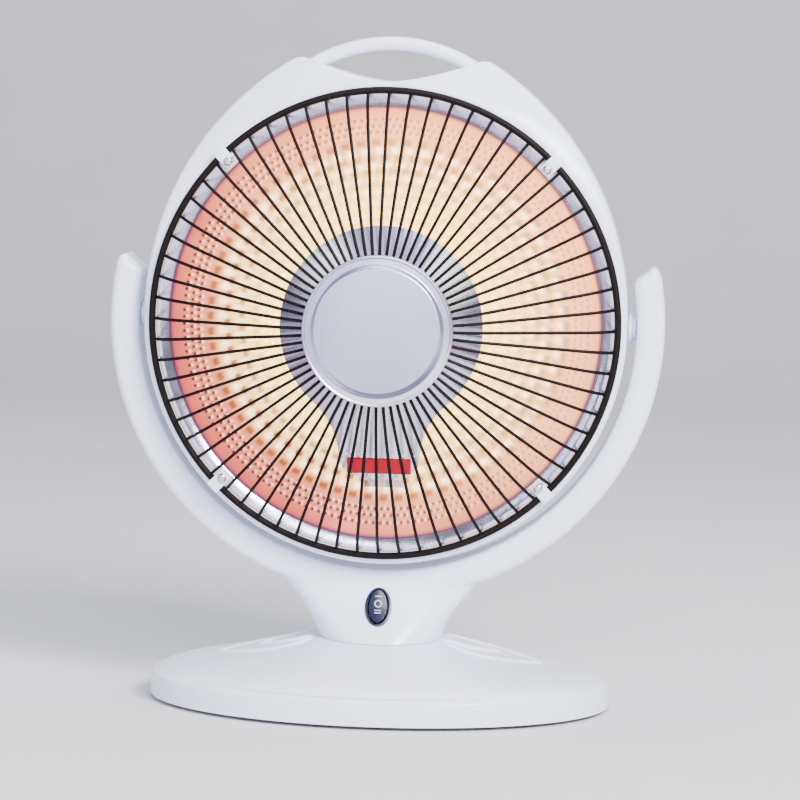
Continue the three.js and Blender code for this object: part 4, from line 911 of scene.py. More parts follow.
class Finishes:
    """Every finish of the heater, made once."""

    def __init__(self) -> None:
        """Make the materials."""
        self.white = Finish(
            "white_plastic", (0.79, 0.84, 0.99), (0.77, 0.82, 0.98), (0.24, 0.31), 1100.0, 0.03, coat=0.15,
        ).make()
        self.black = Finish(
            "guard_black", (0.002, 0.001, 0.002), (0.005, 0.002, 0.003), (0.5, 0.62), 2200.0, 0.12,
            shine=0.14,
        ).make()
        self.dark = Finish(
            "black_plastic", (0.02, 0.02, 0.024), (0.035, 0.035, 0.04), (0.4, 0.55), 1600.0, 0.2,
        ).make()
        self.navy = Finish(
            "switch_navy", (0.008, 0.009, 0.034), (0.014, 0.015, 0.048), (0.22, 0.34), 1800.0, 0.08, coat=0.3,
        ).make()
        self.rubber = Finish(
            "rubber", (0.018, 0.018, 0.02), (0.035, 0.035, 0.038), (0.7, 0.9), 1400.0, 0.4,
        ).make()
        self.plate = Finish(
            "plated_steel", (0.30, 0.31, 0.33), (0.42, 0.43, 0.46), (0.35, 0.55), 500.0, 0.15, metal=0.9,
        ).make()
        self.screw = Finish(
            "screw_steel", (0.74, 0.74, 0.80), (0.58, 0.58, 0.66), (0.16, 0.32), 2500.0, 0.15, metal=1.0,
        ).make()
        self.ceramic = Finish(
            "element_ceramic", (0.78, 0.72, 0.62), (0.62, 0.52, 0.42), (0.6, 0.8), 1500.0, 0.4,
        ).make()
        self.chrome = SectorChrome().make()
        self.red = Finish(
            "band_red", (0.46, 0.0, 0.016), (0.38, 0.0, 0.012), (0.35, 0.45), 1500.0, 0.1, shine=0.2,
        ).make()
        self.disc = BrushedDisc().make()
        self.print = Finish(
            "switch_print", (0.52, 0.52, 0.60), (0.45, 0.45, 0.54), (0.4, 0.5), 1500.0, 0.1,
        ).make()
        self.dish = PaintedGlowDish().make()
        self.dull = Finish(
            "dish_back", (0.16, 0.15, 0.16), (0.12, 0.11, 0.12), (0.4, 0.55), 500.0, 0.1, metal=1.0,
        ).make()
        self.wire = self.glowing("resistance_wire", (1.0, 0.36, 0.08), 9.0)

    @staticmethod
    def glowing(name: str, colour: tuple[float, float, float], strength: float) -> bpy.types.Material:
        """Wire that glows, a little unevenly.

        Args:
            name: Name of the material.
            colour: Colour of its cooler stretches.
            strength: Strength of its light.

        Returns:
            The material.
        """
        cold = Finish(name, (0.5, 0.2, 0.1), (0.4, 0.12, 0.06), (0.5, 0.7), 1500.0, 0.3)
        material, graph, shader, _ = cold.start()
        share = graph.ranged(graph.noise(graph.place(), 120.0), 0.35, 0.65, 0.0, 1.0)
        glow = graph.mixed(share, (*colour, 1), (1.0, 0.52, 0.18, 1))
        graph.tree.links.new(glow, shader.inputs["Emission Color"])
        shader.inputs["Emission Strength"].default_value = strength
        return material


# ---------------------------------------------------------------- foot
@dataclass
class Foot:
    """The oval weighted foot: its cover, feet, screws, cord inlet and tip-over plunger."""

    finishes: Finishes
    half_width: float = 150.0
    half_depth: float = 102.0
    floor: float = 2.5
    rim_top: float = 15.5
    crown: float = 43.7
    pad: float = 42.0
    wall: float = 2.6
    bore: float = 15.4
    crease: float = 0.95
    leaf_rise: float = 0.5
    leaf_edge: float = 1.7

    def depth_share(self, radius: np.ndarray) -> np.ndarray:
        """How far the oval is drawn in at a radius."""
        share = np.clip((radius - self.pad) / (self.half_width - self.pad), 0, 1)
        return 1 + share * (self.half_depth / self.half_width - 1)

    def dome(self, radius: np.ndarray) -> np.ndarray:
        """Height of the cover at a radius.

        Args:
            radius: Distance from the middle along the foot's width.

        Returns:
            Height above the floor.
        """
        share = np.clip((radius - self.pad) / (self.half_width - self.pad), 0, 1)
        slope = 1 - share
        shoulder = np.sqrt(np.maximum(1 - share ** 8, 0))
        climb = 0.62 * slope ** 1.55 + 0.1 * slope + 0.28 * shoulder
        return self.rim_top + (self.crown - self.rim_top) * climb

    def height_at(self, x: np.ndarray, y: np.ndarray) -> np.ndarray:
        """Height of the cover over a place on the floor.

        Args:
            x: Place across.
            y: Place along.

        Returns:
            Height above the floor.
        """
        radius = np.hypot(x, y)
        for _ in range(60):
            radius = np.hypot(x, y / self.depth_share(radius))
        return np.where(radius > self.pad, self.dome(radius), self.crown)

    def cover(self) -> Piece:
        """The cover: a rim, a dome over it and the leaves that lie on the dome.

        Returns:
            The cover with its leaves.
        """
        share = self.crease - self.crease * np.linspace(0, 1, 34) ** 1.4
        radii = self.pad + (self.half_width - self.pad) * share
        edge = float(self.dome(radii[0]))
        rings = [(self.half_width, self.half_depth, self.floor), (self.half_width, self.half_depth, 9.0)]
        rings += [
            (self.half_width - inset, self.half_depth - inset, edge - drop)
            for inset, drop in ((0.0, 3.4), (0.1, 2.95), (0.4, 2.55), (0.85, 2.3), (2.6, 1.45))
        ]
        rings += [(r, r * self.depth_share(r), float(self.dome(r))) for r in radii]
        rings += [(self.pad - 1, self.pad - 1, self.crown), (self.bore, self.bore, self.crown)]
        shell = Bench.lofted("foot_cover", rings, 192)
        Bench.face(shell, Vector((0, 0, -60)))
        Bench.modify(shell, "SOLIDIFY", thickness=self.wall, offset=-1)
        leaves = [
            self.leaf(side, reach, half, rise)
            for side in (-1, 1)
            for reach, half, rise in ((107, 26, self.leaf_rise), (80, 14, 2 * self.leaf_rise))
        ]
        return Bench.joined("foot_cover", [shell, *leaves])

    def leaf(self, side: int, reach: float, half: float, rise: float) -> Piece:
        """One raised leaf on the dome.

        Args:
            side: 1 to the right, -1 to the left.
            reach: Distance of its tip from the middle.
            half: Half width that draws its sides.
            rise: Height above the dome.

        Returns:
            The leaf as a thin lens whose underside is sunk in the cover.
        """
        root, tip, sunk = 36.45, reach, 0.25
        steps = np.array([0, 0.2, 0.4, 0.55, 0.68, 0.8])
        margins = np.array([4.2, 3.0, 2.2, self.leaf_edge, 1.3, 0.9, 0.55, 0.25, 0.0])
        rows = len(steps) + len(margins) - 1

        def surface(u: np.ndarray, v: np.ndarray) -> np.ndarray:
            """Places of the rows and columns of the sheet.

            Args:
                u: Share of the way round.
                v: Share of the rows, from the first to the last.

            Returns:
                The places, in millimetres.
            """
            t = np.where(u < 0.5, 2 * u, 2 - 2 * u)
            bend = np.where(u < 0.5, -1.0, 1.0)
            middle = (root + tip) / 2
            early, late = 3 * (1 - t) ** 2 * t, 3 * (1 - t) * t ** 2
            x = (1 - t) ** 3 * root + early * root + late * middle + t ** 3 * tip
            y = bend * half * (early + 1.5 * late)
            heart = root * 0.4 + tip * 0.6
            length = np.hypot(x - heart, y)
            row = np.round(v * rows).astype(int)
            margin = np.where(
                row < len(steps), length - (length - 5.0) * steps[np.minimum(row, len(steps) - 1)],
                margins[np.maximum(row - len(steps), 0)],
            )
            pull = np.clip(margin / length, 0, 1)
            px, py = side * (x + (heart - x) * pull), y * (1 - pull)
            lip = np.sqrt(np.clip(1 - (1 - np.clip(margin / self.leaf_edge, 0, 1)) ** 2, 0, 1))
            ridge = 0.75 * np.exp(-((margin - self.leaf_edge) / 0.8) ** 2)
            fade = np.clip((np.hypot(px, py) - 42.6) / 4.0, 0, 1)
            above = (rise * lip + ridge + sunk) * fade * np.minimum(lip * 3, 1)
            return np.stack([px, py, self.height_at(px, py) - sunk + above], -1)

        leaf = Bench.drawn("leaf", 160, rows, surface)
        Bench.face(leaf, Vector((side * 70, 0, -200)))
        return Bench.modify(leaf, "SOLIDIFY", thickness=0.6, offset=-1)

    def pads(self) -> list[Piece]:
        """The four rubber feet, each under its own node.

        Returns:
            The feet, in the order of their nodes.
        """
        pads = []
        for number in range(1, 5):
            middle = Bench.middle(f"foot_{number}")
            profile = [
                (0, 0.5), (3.2, 0.5), (3.6, 0.0), (8.2, 0.0), (8.75, 0.35), (9.0, 2.6), (8.8, 2.8),
                (3, 2.8), (3, 7.2), (2.6, 7.4), (0, 7.4),
            ]
            pad = Bench.turned(f"rubber_foot_{number}", profile, 48)
            pads.append(Bench.settle(pad, (middle.x, middle.y, 0)))
        return pads

    def screws(self) -> list[Piece]:
        """The four screws under the plate, each with a crossed recess.

        Returns:
            The screws, in the order of their nodes.
        """
        screws = []
        for number in range(1, 5):
            middle = Bench.middle(f"base_screw_{number}")
            place = (middle.x, middle.y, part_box(f"base_screw_{number}")[0].z / MM)
            profile = [
                (0, 0.0), (1.9, 0.0), (2.6, 0.35), (3.0, 1.0), (3.0, 1.8), (1.5, 1.8), (1.5, 13.6), (0, 13.7),
            ]
            screw = Bench.turned(f"foot_screw_{number}", profile, 32)
            for long, wide in ((1.5, 0.32), (0.32, 1.5)):
                Bench.cut(screw, Bench.box("bit", (-long, -wide, -1), (long, wide, 0.9), 0.05))
            screws.append(Bench.settle(screw, place))
        return screws

    def build(self) -> None:
        """Build and hand over the foot's pieces and dress the nodes that stay."""
        kit = self.finishes
        Bench.hand_over(self.cover(), Body.FOOT, Slot.WHITE, kit.white, ["base_cover"])
        for number, pad in enumerate(self.pads(), 1):
            Bench.hand_over(pad, Body.FOOT, Slot.RUBBER, kit.rubber, [f"foot_{number}"])
        for number, screw in enumerate(self.screws(), 1):
            Bench.hand_over(screw, Body.FOOT, Slot.SCREW, kit.screw, [f"base_screw_{number}"])
        for node, material in (
            ("base_plate", kit.plate), ("base_weight", kit.plate), ("tip_switch_body", kit.dark),
            ("cord_gland", kit.rubber), ("tip_plunger", kit.dark), ("swivel_retainer", kit.dark),
            ("swivel_spigot", kit.dark),
        ):
            dress(node, material)


def dress(node: str, material: bpy.types.Material) -> None:
    """Give a CAD node that stays a better material.

    Args:
        node: Name of the node.
        material: Its new material.
    """
    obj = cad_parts[node]
    if not obj.material_slots:
        obj.data.materials.append(material)
    for place in obj.material_slots:
        place.material = material
    LOG.info("%s: dressed in %s", node, material.name)


# ---------------------------------------------------------------- yoke
@dataclass
class Yoke:
    """The yoke's two shells, its screws and the rocker switch in its neck."""

    finishes: Finishes
    axis: float = 250.0
    inner: float = 161.0
    outer: float = 179.0
    half_depth: float = 20.0
    edge: float = 5.0
    inner_edge: float = 6.5
    seam: float = 44.0
    neck_top: float = 84.0
    neck_radius: float = 40.5
    neck_spread: float = 66.0
    top_inner: float = 30.0
    top_outer: float = 40.5
    tip_turn: float = 0.042
    tip_outer: float = 4.2
    tip_inner: float = 1.2
    switch_height: float = 66.0
    gap: float = 0.12

    def share(self, z: np.ndarray) -> np.ndarray:
        """Share of the neck's height."""
        return np.clip((z - self.seam) / (self.neck_top - self.seam), 0, 1)

    def neck_width(self, z: np.ndarray) -> np.ndarray:
        """Half width of the neck at a height."""
        return self.neck_radius + (self.neck_spread - self.neck_radius) * self.share(z) ** 1.5

    def neck_depth(self, z: np.ndarray) -> np.ndarray:
        """Half depth of the neck at a height."""
        top = self.half_depth
        return top + (self.neck_radius - top) * (1 - self.share(z)) ** 1.5

    def rim(self, angle: np.ndarray) -> np.ndarray:
        """Outer edge of the front view, from the tilt axis, at an angle from straight down.

        Args:
            angle: Angle from straight down, either way.

        Returns:
            Distance of the edge from the tilt axis.
        """
        heights = np.linspace(self.seam, self.neck_top + 6, 400)
        sides = self.neck_width(heights)
        sides = np.where(heights > self.neck_top, self.neck_spread + (heights - self.neck_top) * 1.6, sides)
        angles = np.arctan2(sides, self.axis - heights)
        reach = np.hypot(sides, self.axis - heights)
        side = np.interp(np.abs(angle), angles, reach, left=1e4, right=0.0)
        floor = (self.axis - self.seam) / np.cos(np.clip(angle, -1.2, 1.2))
        neck = np.where(np.abs(angle) < angles[0], floor, side)
        soft = 1.6
        joined = self.outer + soft * np.logaddexp(0, (neck - self.outer) / soft)
        return np.where(neck > self.outer + 24, neck, joined)

    def half(self, x: np.ndarray, z: np.ndarray, inset: np.ndarray) -> np.ndarray:
        """Half depth of the yoke over a place in the front view.

        Args:
            x: Distance from the centre line.
            z: Height above the floor.
            inset: Distance inside the arms' edges; less than 0 beyond the arms.

        Returns:
            Half depth, with rounded edges on the arms and a soft join to the neck.
        """
        drop = np.clip(self.edge - inset, 0, self.edge)
        arm = self.half_depth - self.edge + np.sqrt(self.edge ** 2 - drop ** 2)
        arm = arm + np.minimum(inset, 0) * 3
        wide = np.maximum(self.neck_width(z), 1e-6)
        power = 2 + 3.2 * self.share(z)
        across = np.minimum(np.abs(x) / wide, 1)
        neck = self.neck_depth(z) * np.maximum(1 - across ** power, 0) ** (1 / power)
        fade = np.clip((self.neck_top + 3.5 - z) / 10.0, 0, 1)
        neck = np.where(z > self.neck_top + 3.5, 0, neck - (1 - fade) * 2.5)
        soft = 0.9
        return np.maximum(arm, neck) + soft * np.exp(-np.abs(arm - neck) / soft) * 0.5

    def shell(self, front: bool) -> Piece:
        """One half of the yoke as an open shell, before its wall is given.

        Args:
            front: Whether it is the front half.

        Returns:
            The half as an open sheet, faces outwards.
        """
        round_in = self.inner_edge * (1 - np.cos(np.linspace(0, math.pi / 2, 8)))
        round_out = self.edge * np.linspace(0, 1, 14) ** 3
        turns = 300
        walls = 2
        rows = 2 * walls + len(round_in) + len(round_out) + 10

        def surface(u: np.ndarray, v: np.ndarray) -> np.ndarray:
            """Places of the rows and columns of the sheet.

            Args:
                u: Share of the way round.
                v: Share of the rows, from the first to the last.

            Returns:
                The places, in millimetres.
            """
            column = np.round(u * (turns + 2 * walls)).astype(int) - walls
            row = np.round(v * rows).astype(int)
            end_wall = np.maximum(-column, column - turns) / walls
            t = np.clip(column, 0, turns) / turns
            t = t - 0.012 * np.sin(2 * math.pi * t)
            across = row - walls
            side_wall = np.maximum(-across, across - (rows - 2 * walls)) / walls
            across = np.clip(across, 0, rows - 2 * walls)
            between = rows - 2 * walls - len(round_in) - len(round_out) + 2
            blend = np.clip((across - (len(round_in) - 1)) / between, 0, 1)
            back = rows - 2 * walls - across
            width = self.outer - self.inner
            middle = self.inner_edge + (width - self.inner_edge - self.edge) * blend
            inwards = round_in[np.minimum(across, len(round_in) - 1)]
            outwards = round_out[np.minimum(back, len(round_out) - 1)]
            over = np.where(across < len(round_in), inwards, middle)
            over = np.where(back < len(round_out), width - outwards, over)
            inner_end = math.asin(self.top_inner / self.inner)
            outer_end = math.asin(self.top_outer / self.outer)
            end = math.pi / 2 + inner_end + (outer_end - inner_end) * over / width
            angle = (2 * t - 1) * end
            rim = self.rim(angle)
            near = np.clip((np.abs(angle) - end + self.tip_turn) / self.tip_turn, 0, 1)
            drawn_in = 1 - np.sqrt(np.maximum(1 - near ** 2, 0))
            rim, low = rim - self.tip_outer * drawn_in, self.inner + self.tip_inner * drawn_in
            fit = np.minimum((rim - low) / width, 1)
            inside, outside = low + self.inner_edge * fit, rim - self.edge * fit
            radius = np.where(
                across < len(round_in), low + inwards * fit,
                np.where(back < len(round_out), rim - outwards * fit, inside + (outside - inside) * blend),
            )
            x, z = radius * np.sin(angle), self.axis - radius * np.cos(angle)
            ease_in = np.clip((radius - low) * self.edge / self.inner_edge, 0, self.edge)
            outer_edge = np.minimum(rim, self.outer)
            inset = np.minimum(ease_in, outer_edge - radius)
            inset = np.minimum(inset, (end - np.abs(angle)) * radius)
            depth = self.half(x, z, inset)
            side = np.abs(angle) > math.atan2(self.neck_radius + 0.3, self.axis - self.seam)
            depth = np.where((back == 0) & side & (rim > self.outer + 2), self.gap, depth)
            wall = np.clip(np.maximum(end_wall, side_wall), 0, 1)
            y = -(depth + (self.gap - depth) * wall)
            return np.stack([x, y if front else -y, z], -1)

        shell = Bench.drawn("yoke_front" if front else "yoke_back", turns + 2 * walls, rows, surface)
        toward = Vector((0, 400 if front else -400, 150))
        return Bench.face(shell, toward)

    def switch_place(self) -> tuple[float, float, float]:
        """Place of the switch on the neck's front."""
        return 0.0, -float(self.neck_depth(np.array(self.switch_height))), self.switch_height

    def switch_lean(self) -> float:
        """Slope of the neck's front at the switch."""
        below, above = (float(self.neck_depth(np.array(self.switch_height + z))) for z in (-0.5, 0.5))
        return -math.atan(below - above)

    def front(self) -> Piece:
        """The front shell with the opening for the switch.

        Returns:
            The front shell.
        """
        shell = Bench.modify(self.shell(True), "SOLIDIFY", thickness=2.4, offset=-1)
        rings = [(0, 0, -12), (7.6, 12.4, -12), (7.6, 12.4, 14), (0, 0, 14)]
        tool = Bench.lofted("switch_opening", rings, 48)
        return Bench.cut(shell, Bench.settle(tool, self.switch_place(), self.switch_lean(), Axis.BACK))

    def back(self) -> Piece:
        """The rear shell with a counterbored seat for each screw.

        Returns:
            The rear shell.
        """
        shell = Bench.modify(self.shell(False), "SOLIDIFY", thickness=2.4, offset=-1)
        seats = []
        for x, z in self.screw_places():
            tool = Bench.turned("bit", [(0, 12), (3.3, 12), (3.3, 60), (0, 60)], 40)
            Bench.cut(shell, Bench.settle(tool, (x, 0, z), axis=Axis.BACK))
            profile = [(3.3, 18.2), (5.4, 18.2), (5.4, 13), (1.8, 13), (1.8, 14.9), (3.3, 14.9)]
            cup = Bench.turned("seat", profile, 40, True)
            seats.append(Bench.settle(cup, (x, 0, z), axis=Axis.BACK))
        return Bench.joined("yoke_back", [shell, *seats])

    def screw_places(self) -> list[tuple[float, float]]:
        """Places of the yoke's screws in the front view, from their nodes."""
        middles = [Bench.middle(f"yoke_screw_{number}") for number in range(1, 5)]
        return [(middle.x, middle.z) for middle in middles]

    def screws(self) -> list[Piece]:
        """The four slotted screws at the back.

        Returns:
            The screws, in the order of their nodes.
        """
        screws = []
        for number, (x, z) in enumerate(self.screw_places(), 1):
            profile = [
                (0, -9), (1.5, -9), (1.5, 15), (3, 15), (3, 15.8), (2.6, 16.5), (1.8, 16.8), (0, 16.85),
            ]
            screw = Bench.settle(Bench.turned(f"yoke_screw_head_{number}", profile, 32), axis=Axis.BACK)
            Bench.cut(screw, Bench.box("bit", (-4, 15.9, -0.42), (4, 18, 0.42), 0.05))
            screws.append(Bench.settle(screw, (x, 0, z)))
        return screws

    def build(self) -> None:
        """Build and hand over the yoke."""
        kit = self.finishes
        Bench.hand_over(self.front(), Body.YOKE, Slot.WHITE, kit.white, ["yoke_front_shell"])
        Bench.hand_over(self.back(), Body.YOKE, Slot.WHITE, kit.white, ["yoke_rear_shell"])
        for number, screw in enumerate(self.screws(), 1):
            Bench.hand_over(screw, Body.YOKE, Slot.SCREW, kit.screw, [f"yoke_screw_{number}"])


@dataclass
class Switch:
    """The rocker switch: an oval bezel with a pocket, and a dished key with its printed marks."""

    finishes: Finishes
    lean: float
    place: tuple[float, float, float]
    half_width: float = 8.7
    half_height: float = 13.5
    hollow: float = 52.0
    proud: float = 1.55

    def settled(self, obj: Piece) -> Piece:
        """Carry a piece from the switch's own place onto the neck."""
        return Bench.settle(obj, self.place, self.lean, Axis.BACK)

    def bezel(self) -> Piece:
        """The bezel and its pocket.

        Returns:
            The bezel.
        """
        w, h = self.half_width, self.half_height
        rings = [
            (w, h, 1.6), (w, h, -0.7), (w - 0.25, h - 0.25, -1.2), (w - 0.7, h - 0.7, -1.4),
            (w - 1.6, h - 1.25, -1.4), (w - 1.95, h - 1.55, -1.15), (w - 2.2, h - 1.65, -0.6),
            (w - 2.4, h - 1.75, 1.0), (w - 2.4, h - 1.75, 7.2), (0, 0, 7.2),
        ]
        back = [(w - 1.9, h - 1.2, 1.6), (w - 1.9, h - 1.2, 8.6), (0, 0, 8.6)]
        return self.settled(Bench.lofted("switch_bezel", [*reversed(back), *rings], 96))

    def key(self) -> Piece:
        """The rocker's key, dished along its length.

        Returns:
            The key with its pin.
        """
        w, h = 5.75, 10.9
        rings = [
            (0, 0, 5.2), (w - 0.9, h - 2.2, 5.2), (w, h - 0.4, 2.8), (w, h, 1.5), (w, h, -4.0), (0, 0, -4.0),
        ]
        key = Bench.lofted("rocker_key", rings, 96)
        tool = self.rod("dish_tool", self.hollow, 20, 360, -self.proud - self.hollow)
        Bench.cut(key, tool)
        Bench.eased(key, 0.45)
        pin = self.rod("pin", 1.2, 6.6, 24, 2.1)
        return self.settled(Bench.joined("rocker_key", [key, pin]))

    @staticmethod
    def rod(name: str, radius: float, half: float, sides: int, depth: float) -> Piece:
        """A plain rod that lies across the switch.

        Args:
            name: Name of the rod.
            radius: Its radius.
            half: Half its length.
            sides: Faces round it.
            depth: Place of its middle behind the neck's front.

        Returns:
            The rod.
        """
        rod = Bench.turned(name, [(0, -half), (radius, -half), (radius, half), (0, half)], sides)
        Bench.settle(rod, axis=Axis.ACROSS)
        return Bench.settle(rod, (0, 0, depth))

    def face_at(self, height: float) -> float:
        """How far ahead the dished face stands at a height from the key's middle."""
        return -self.proud - (self.hollow - math.sqrt(self.hollow ** 2 - height ** 2))

    def marks(self) -> Piece:
        """The printed marks: a bar, a ring and two bars.

        Returns:
            The marks as one piece.
        """
        parts = []
        for number, height in enumerate((6.9, -2.6, -4.3)):
            bar = Bench.box(f"bar_{number}", (-2.1, -0.32, -0.09), (2.1, 0.32, 0.3), 0.05)
            parts.append(self.on_face(bar, height))
        ring = Bench.turned("ring_mark", [(1.75, 0.3), (1.75, -0.09), (2.5, -0.09), (2.5, 0.3)], 48, True)
        parts.append(self.on_face(ring, 2.0))
        return self.settled(Bench.joined("rocker_marks", parts))

    def on_face(self, obj: Piece, height: float) -> Piece:
        """Lay a mark on the dished face at a height from the key's middle."""
        return Bench.settle(obj, (0, -height, self.face_at(height)), math.asin(height / self.hollow))

    def build(self) -> None:
        """Build and hand over the switch."""
        kit = self.finishes
        Bench.hand_over(self.bezel(), Body.YOKE, Slot.NAVY, kit.navy, ["switch_body"])
        Bench.hand_over(self.key(), Body.ROCKER, Slot.NAVY, kit.navy, ["switch_rocker"])
        Bench.hand_over(self.marks(), Body.ROCKER, Slot.WHITE, kit.print, [])


# ---------------------------------------------------------------- head
@dataclass
class HeadShell:
    """The head's two housings, the carrying handle and the hub washers."""

    finishes: Finishes
    axis: float = 250.0
    radius: float = 155.0
    opening: float = 146.8
    front: float = -33.0
    spread: float = 60.0
    tip: float = 169.8
    dip: float = 154.5
    fall: float = 21.0
    crown_start: float = 151.0
    crown_foot: float = 149.0
    wall: float = 2.5
    edge: float = 4.5
    gap: float = 0.12
    bowl_y: float = 12.0
    bowl_depth: float = 64.0
    bowl_end: float = 28.0
    bar_sweep: float = 33.0
    bar_arc: float = 99.5
    bar_centre: float = 79.2
    bar_half: tuple[float, float] = (6.5, 4.5)

    def outline(self, angle: np.ndarray) -> np.ndarray:
        """Radius of the head's front view at an angle from the +X side.

        Args:
            angle: Angle from the +X side towards the top.

        Returns:
            Distance of the outline from the tilt axis.
        """
        right = np.arcsin(np.clip(np.sin(angle), -1, 1))
        reach, crest = math.hypot(self.tip, self.spread), math.atan2(self.tip, self.spread)
        share = np.clip(right / crest, 0, 1.3)
        flank = self.radius + (reach - self.radius) * share ** 1.7
        across = np.linspace(0, 110, 500)
        valley = self.dip + (self.tip - self.dip) * (across / self.spread) ** 1.5
        angles, reaches = np.arctan2(valley, across)[::-1], np.hypot(valley, across)[::-1]
        dip = np.where(right > angles[0], np.interp(right, angles, reaches), 1e4)
        soft = 1.5
        low = np.minimum(flank, dip)
        return low - soft * np.log1p(np.exp(-np.minimum(np.abs(flank - dip), 60.0) / soft))

    def crown(self, radius: np.ndarray) -> np.ndarray:
        """The front face at a radius.

        Args:
            radius: Distance from the middle.

        Returns:
            Depth of the face there, forwards below 0.
        """
        reach = math.hypot(self.tip, self.spread)
        share = np.maximum(radius - self.crown_start, 0) / (reach - self.crown_foot)
        return self.front + self.fall * share ** 1.5

    def slope(self, radius: np.ndarray) -> np.ndarray:
        """Lean of the front face at a radius, as an angle."""
        return np.arctan((self.crown(radius + 0.05) - self.crown(radius - 0.05)) / 0.1)

    def front_housing(self) -> Piece:
        """The front housing: a flat ring, a crowned face and the side wall behind it.

        Returns:
            The front housing with its lugs.
        """
        lip = [(0.0, 0.45), (0.25, 0.12), (0.7, 0.0), (2.4, 0.0)]
        face, rounding, sides = 16, 8, 6
        rows = len(lip) + face + rounding + sides - 1

        def surface(u: np.ndarray, v: np.ndarray) -> np.ndarray:
            """Places of the rows and columns of the sheet.

            Args:
                u: Share of the way round.
                v: Share of the rows, from the first to the last.

            Returns:
                The places, in millimetres.
            """
            angle = 2 * math.pi * u
            row = np.round(v * rows).astype(int)
            rim = self.outline(angle)
            start = self.opening + 2.4
            first = rim - self.edge
            lean = self.slope(first + self.edge * 0.3)
            begin = rim - self.edge * (1 - np.sin(lean))
            ahead = self.crown(begin)
            lips = np.array(lip)[np.clip(row, 0, len(lip) - 1)]
            on_face = np.clip((row - len(lip) + 1) / face, 0, 1)
            on_edge = np.clip((row - len(lip) + 1 - face) / rounding, 0, 1)
            on_side = np.clip((row - len(lip) + 1 - face - rounding) / sides, 0, 1)
            ring = start + (begin - start) * on_face
            radius = np.where(row < len(lip), self.opening + lips[..., 0], ring)
            y = np.where(row < len(lip), self.front + lips[..., 1], self.crown(radius))
            turn = lean + (math.pi / 2 - lean) * on_edge
            curved = on_edge > 0
            radius = np.where(curved, rim - self.edge * (1 - np.sin(turn)), radius)
            y = np.where(curved, ahead + self.edge * (np.cos(lean) - np.cos(turn)), y)
            last = ahead + self.edge * np.cos(lean)
            y = np.where(on_side > 0, last + (-self.gap - last) * on_side, y)
            return np.stack([radius * np.cos(angle), y, radius * np.sin(angle)], -1)

        shell = Bench.face(Bench.drawn("head_front", 360, rows, surface), Vector((0, 160, 0)))
        Bench.modify(shell, "SOLIDIFY", thickness=self.wall, offset=-1)
        lugs = []
        for quarter in QUARTERS:
            lug = Bench.box("lug", (139.4, -32.9, -6), (149.8, -30.6, 6), 0.6)
            lugs.append(Bench.turned_to(lug, quarter))
        return Bench.joined("head_front", [shell, *lugs])

    def back_housing(self) -> Piece:
        """The rear housing: side wall, bowl and its rows of cooling slots.

        Returns:
            The rear housing.
        """
        sides, rounding, ledge, bowl = 5, 6, 6, 26
        last = math.radians(self.bowl_end)
        rows = sides + rounding + ledge + bowl + 4

        def surface(u: np.ndarray, v: np.ndarray) -> np.ndarray:
            """Places of the rows and columns of the sheet.

            Args:
                u: Share of the way round.
                v: Share of the rows, from the first to the last.

            Returns:
                The places, in millimetres.
            """
            angle = 2 * math.pi * u
            row = np.round(v * rows).astype(int)
            rim = self.outline(angle)
            margin = np.clip((rim - self.radius + 1.5) * 0.5, 0.3, self.edge)
            start = np.minimum(self.radius - 0.6, rim - margin - 0.5)
            back = self.bowl_y - 7.2 * (rim - self.radius) / 31
            side = np.clip(row / sides, 0, 1)
            turn = np.clip((row - sides) / rounding, 0, 1) * math.pi / 2
            shelf = np.clip((row - sides - rounding) / ledge, 0, 1)
            bend = np.clip((row - sides - rounding - ledge) / bowl, 0, 1)
            disc = np.clip((row - sides - rounding - ledge - bowl) / 4, 0, 1)
            y = self.gap + (back - margin - self.gap) * side
            radius = rim
            y = np.where(turn > 0, back - margin + margin * np.sin(turn), y)
            radius = np.where(turn > 0, rim - margin * (1 - np.cos(turn)), radius)
            edge = rim - margin
            radius = np.where(shelf > 0, edge + (start - edge) * shelf, radius)
            y = np.where(shelf > 0, back + (self.bowl_y - back) * shelf, y)
            lean = math.pi / 2 - bend * (math.pi / 2 - last)
            radius = np.where(bend > 0, start * np.sin(lean), radius)
            y = np.where(bend > 0, self.bowl_y + self.bowl_depth * np.cos(lean), y)
            flat = start * math.sin(last)
            deep = self.bowl_y + self.bowl_depth * math.cos(last)
            radius = np.where(disc > 0, flat * (1 - disc), radius)
            y = np.where(disc > 0, deep + 1.4 * np.sin(np.minimum(disc * 2, 1) * math.pi / 2), y)
            return np.stack([radius * np.cos(angle), y, radius * np.sin(angle)], -1)

        shell = Bench.face(Bench.drawn("head_back", 360, rows, surface), Vector((0, -80, 0)))
        Bench.modify(shell, "SOLIDIFY", thickness=self.wall, offset=-1)
        slots = []
        for x in np.linspace(-36, 36, 7):
            for z in (84, -84):
                slots.append(Bench.box("slot", (x - 2.25, 20, z - 17), (x + 2.25, 90, z + 17), 1.8))
        return Bench.cut(shell, Bench.joined("slots", slots))

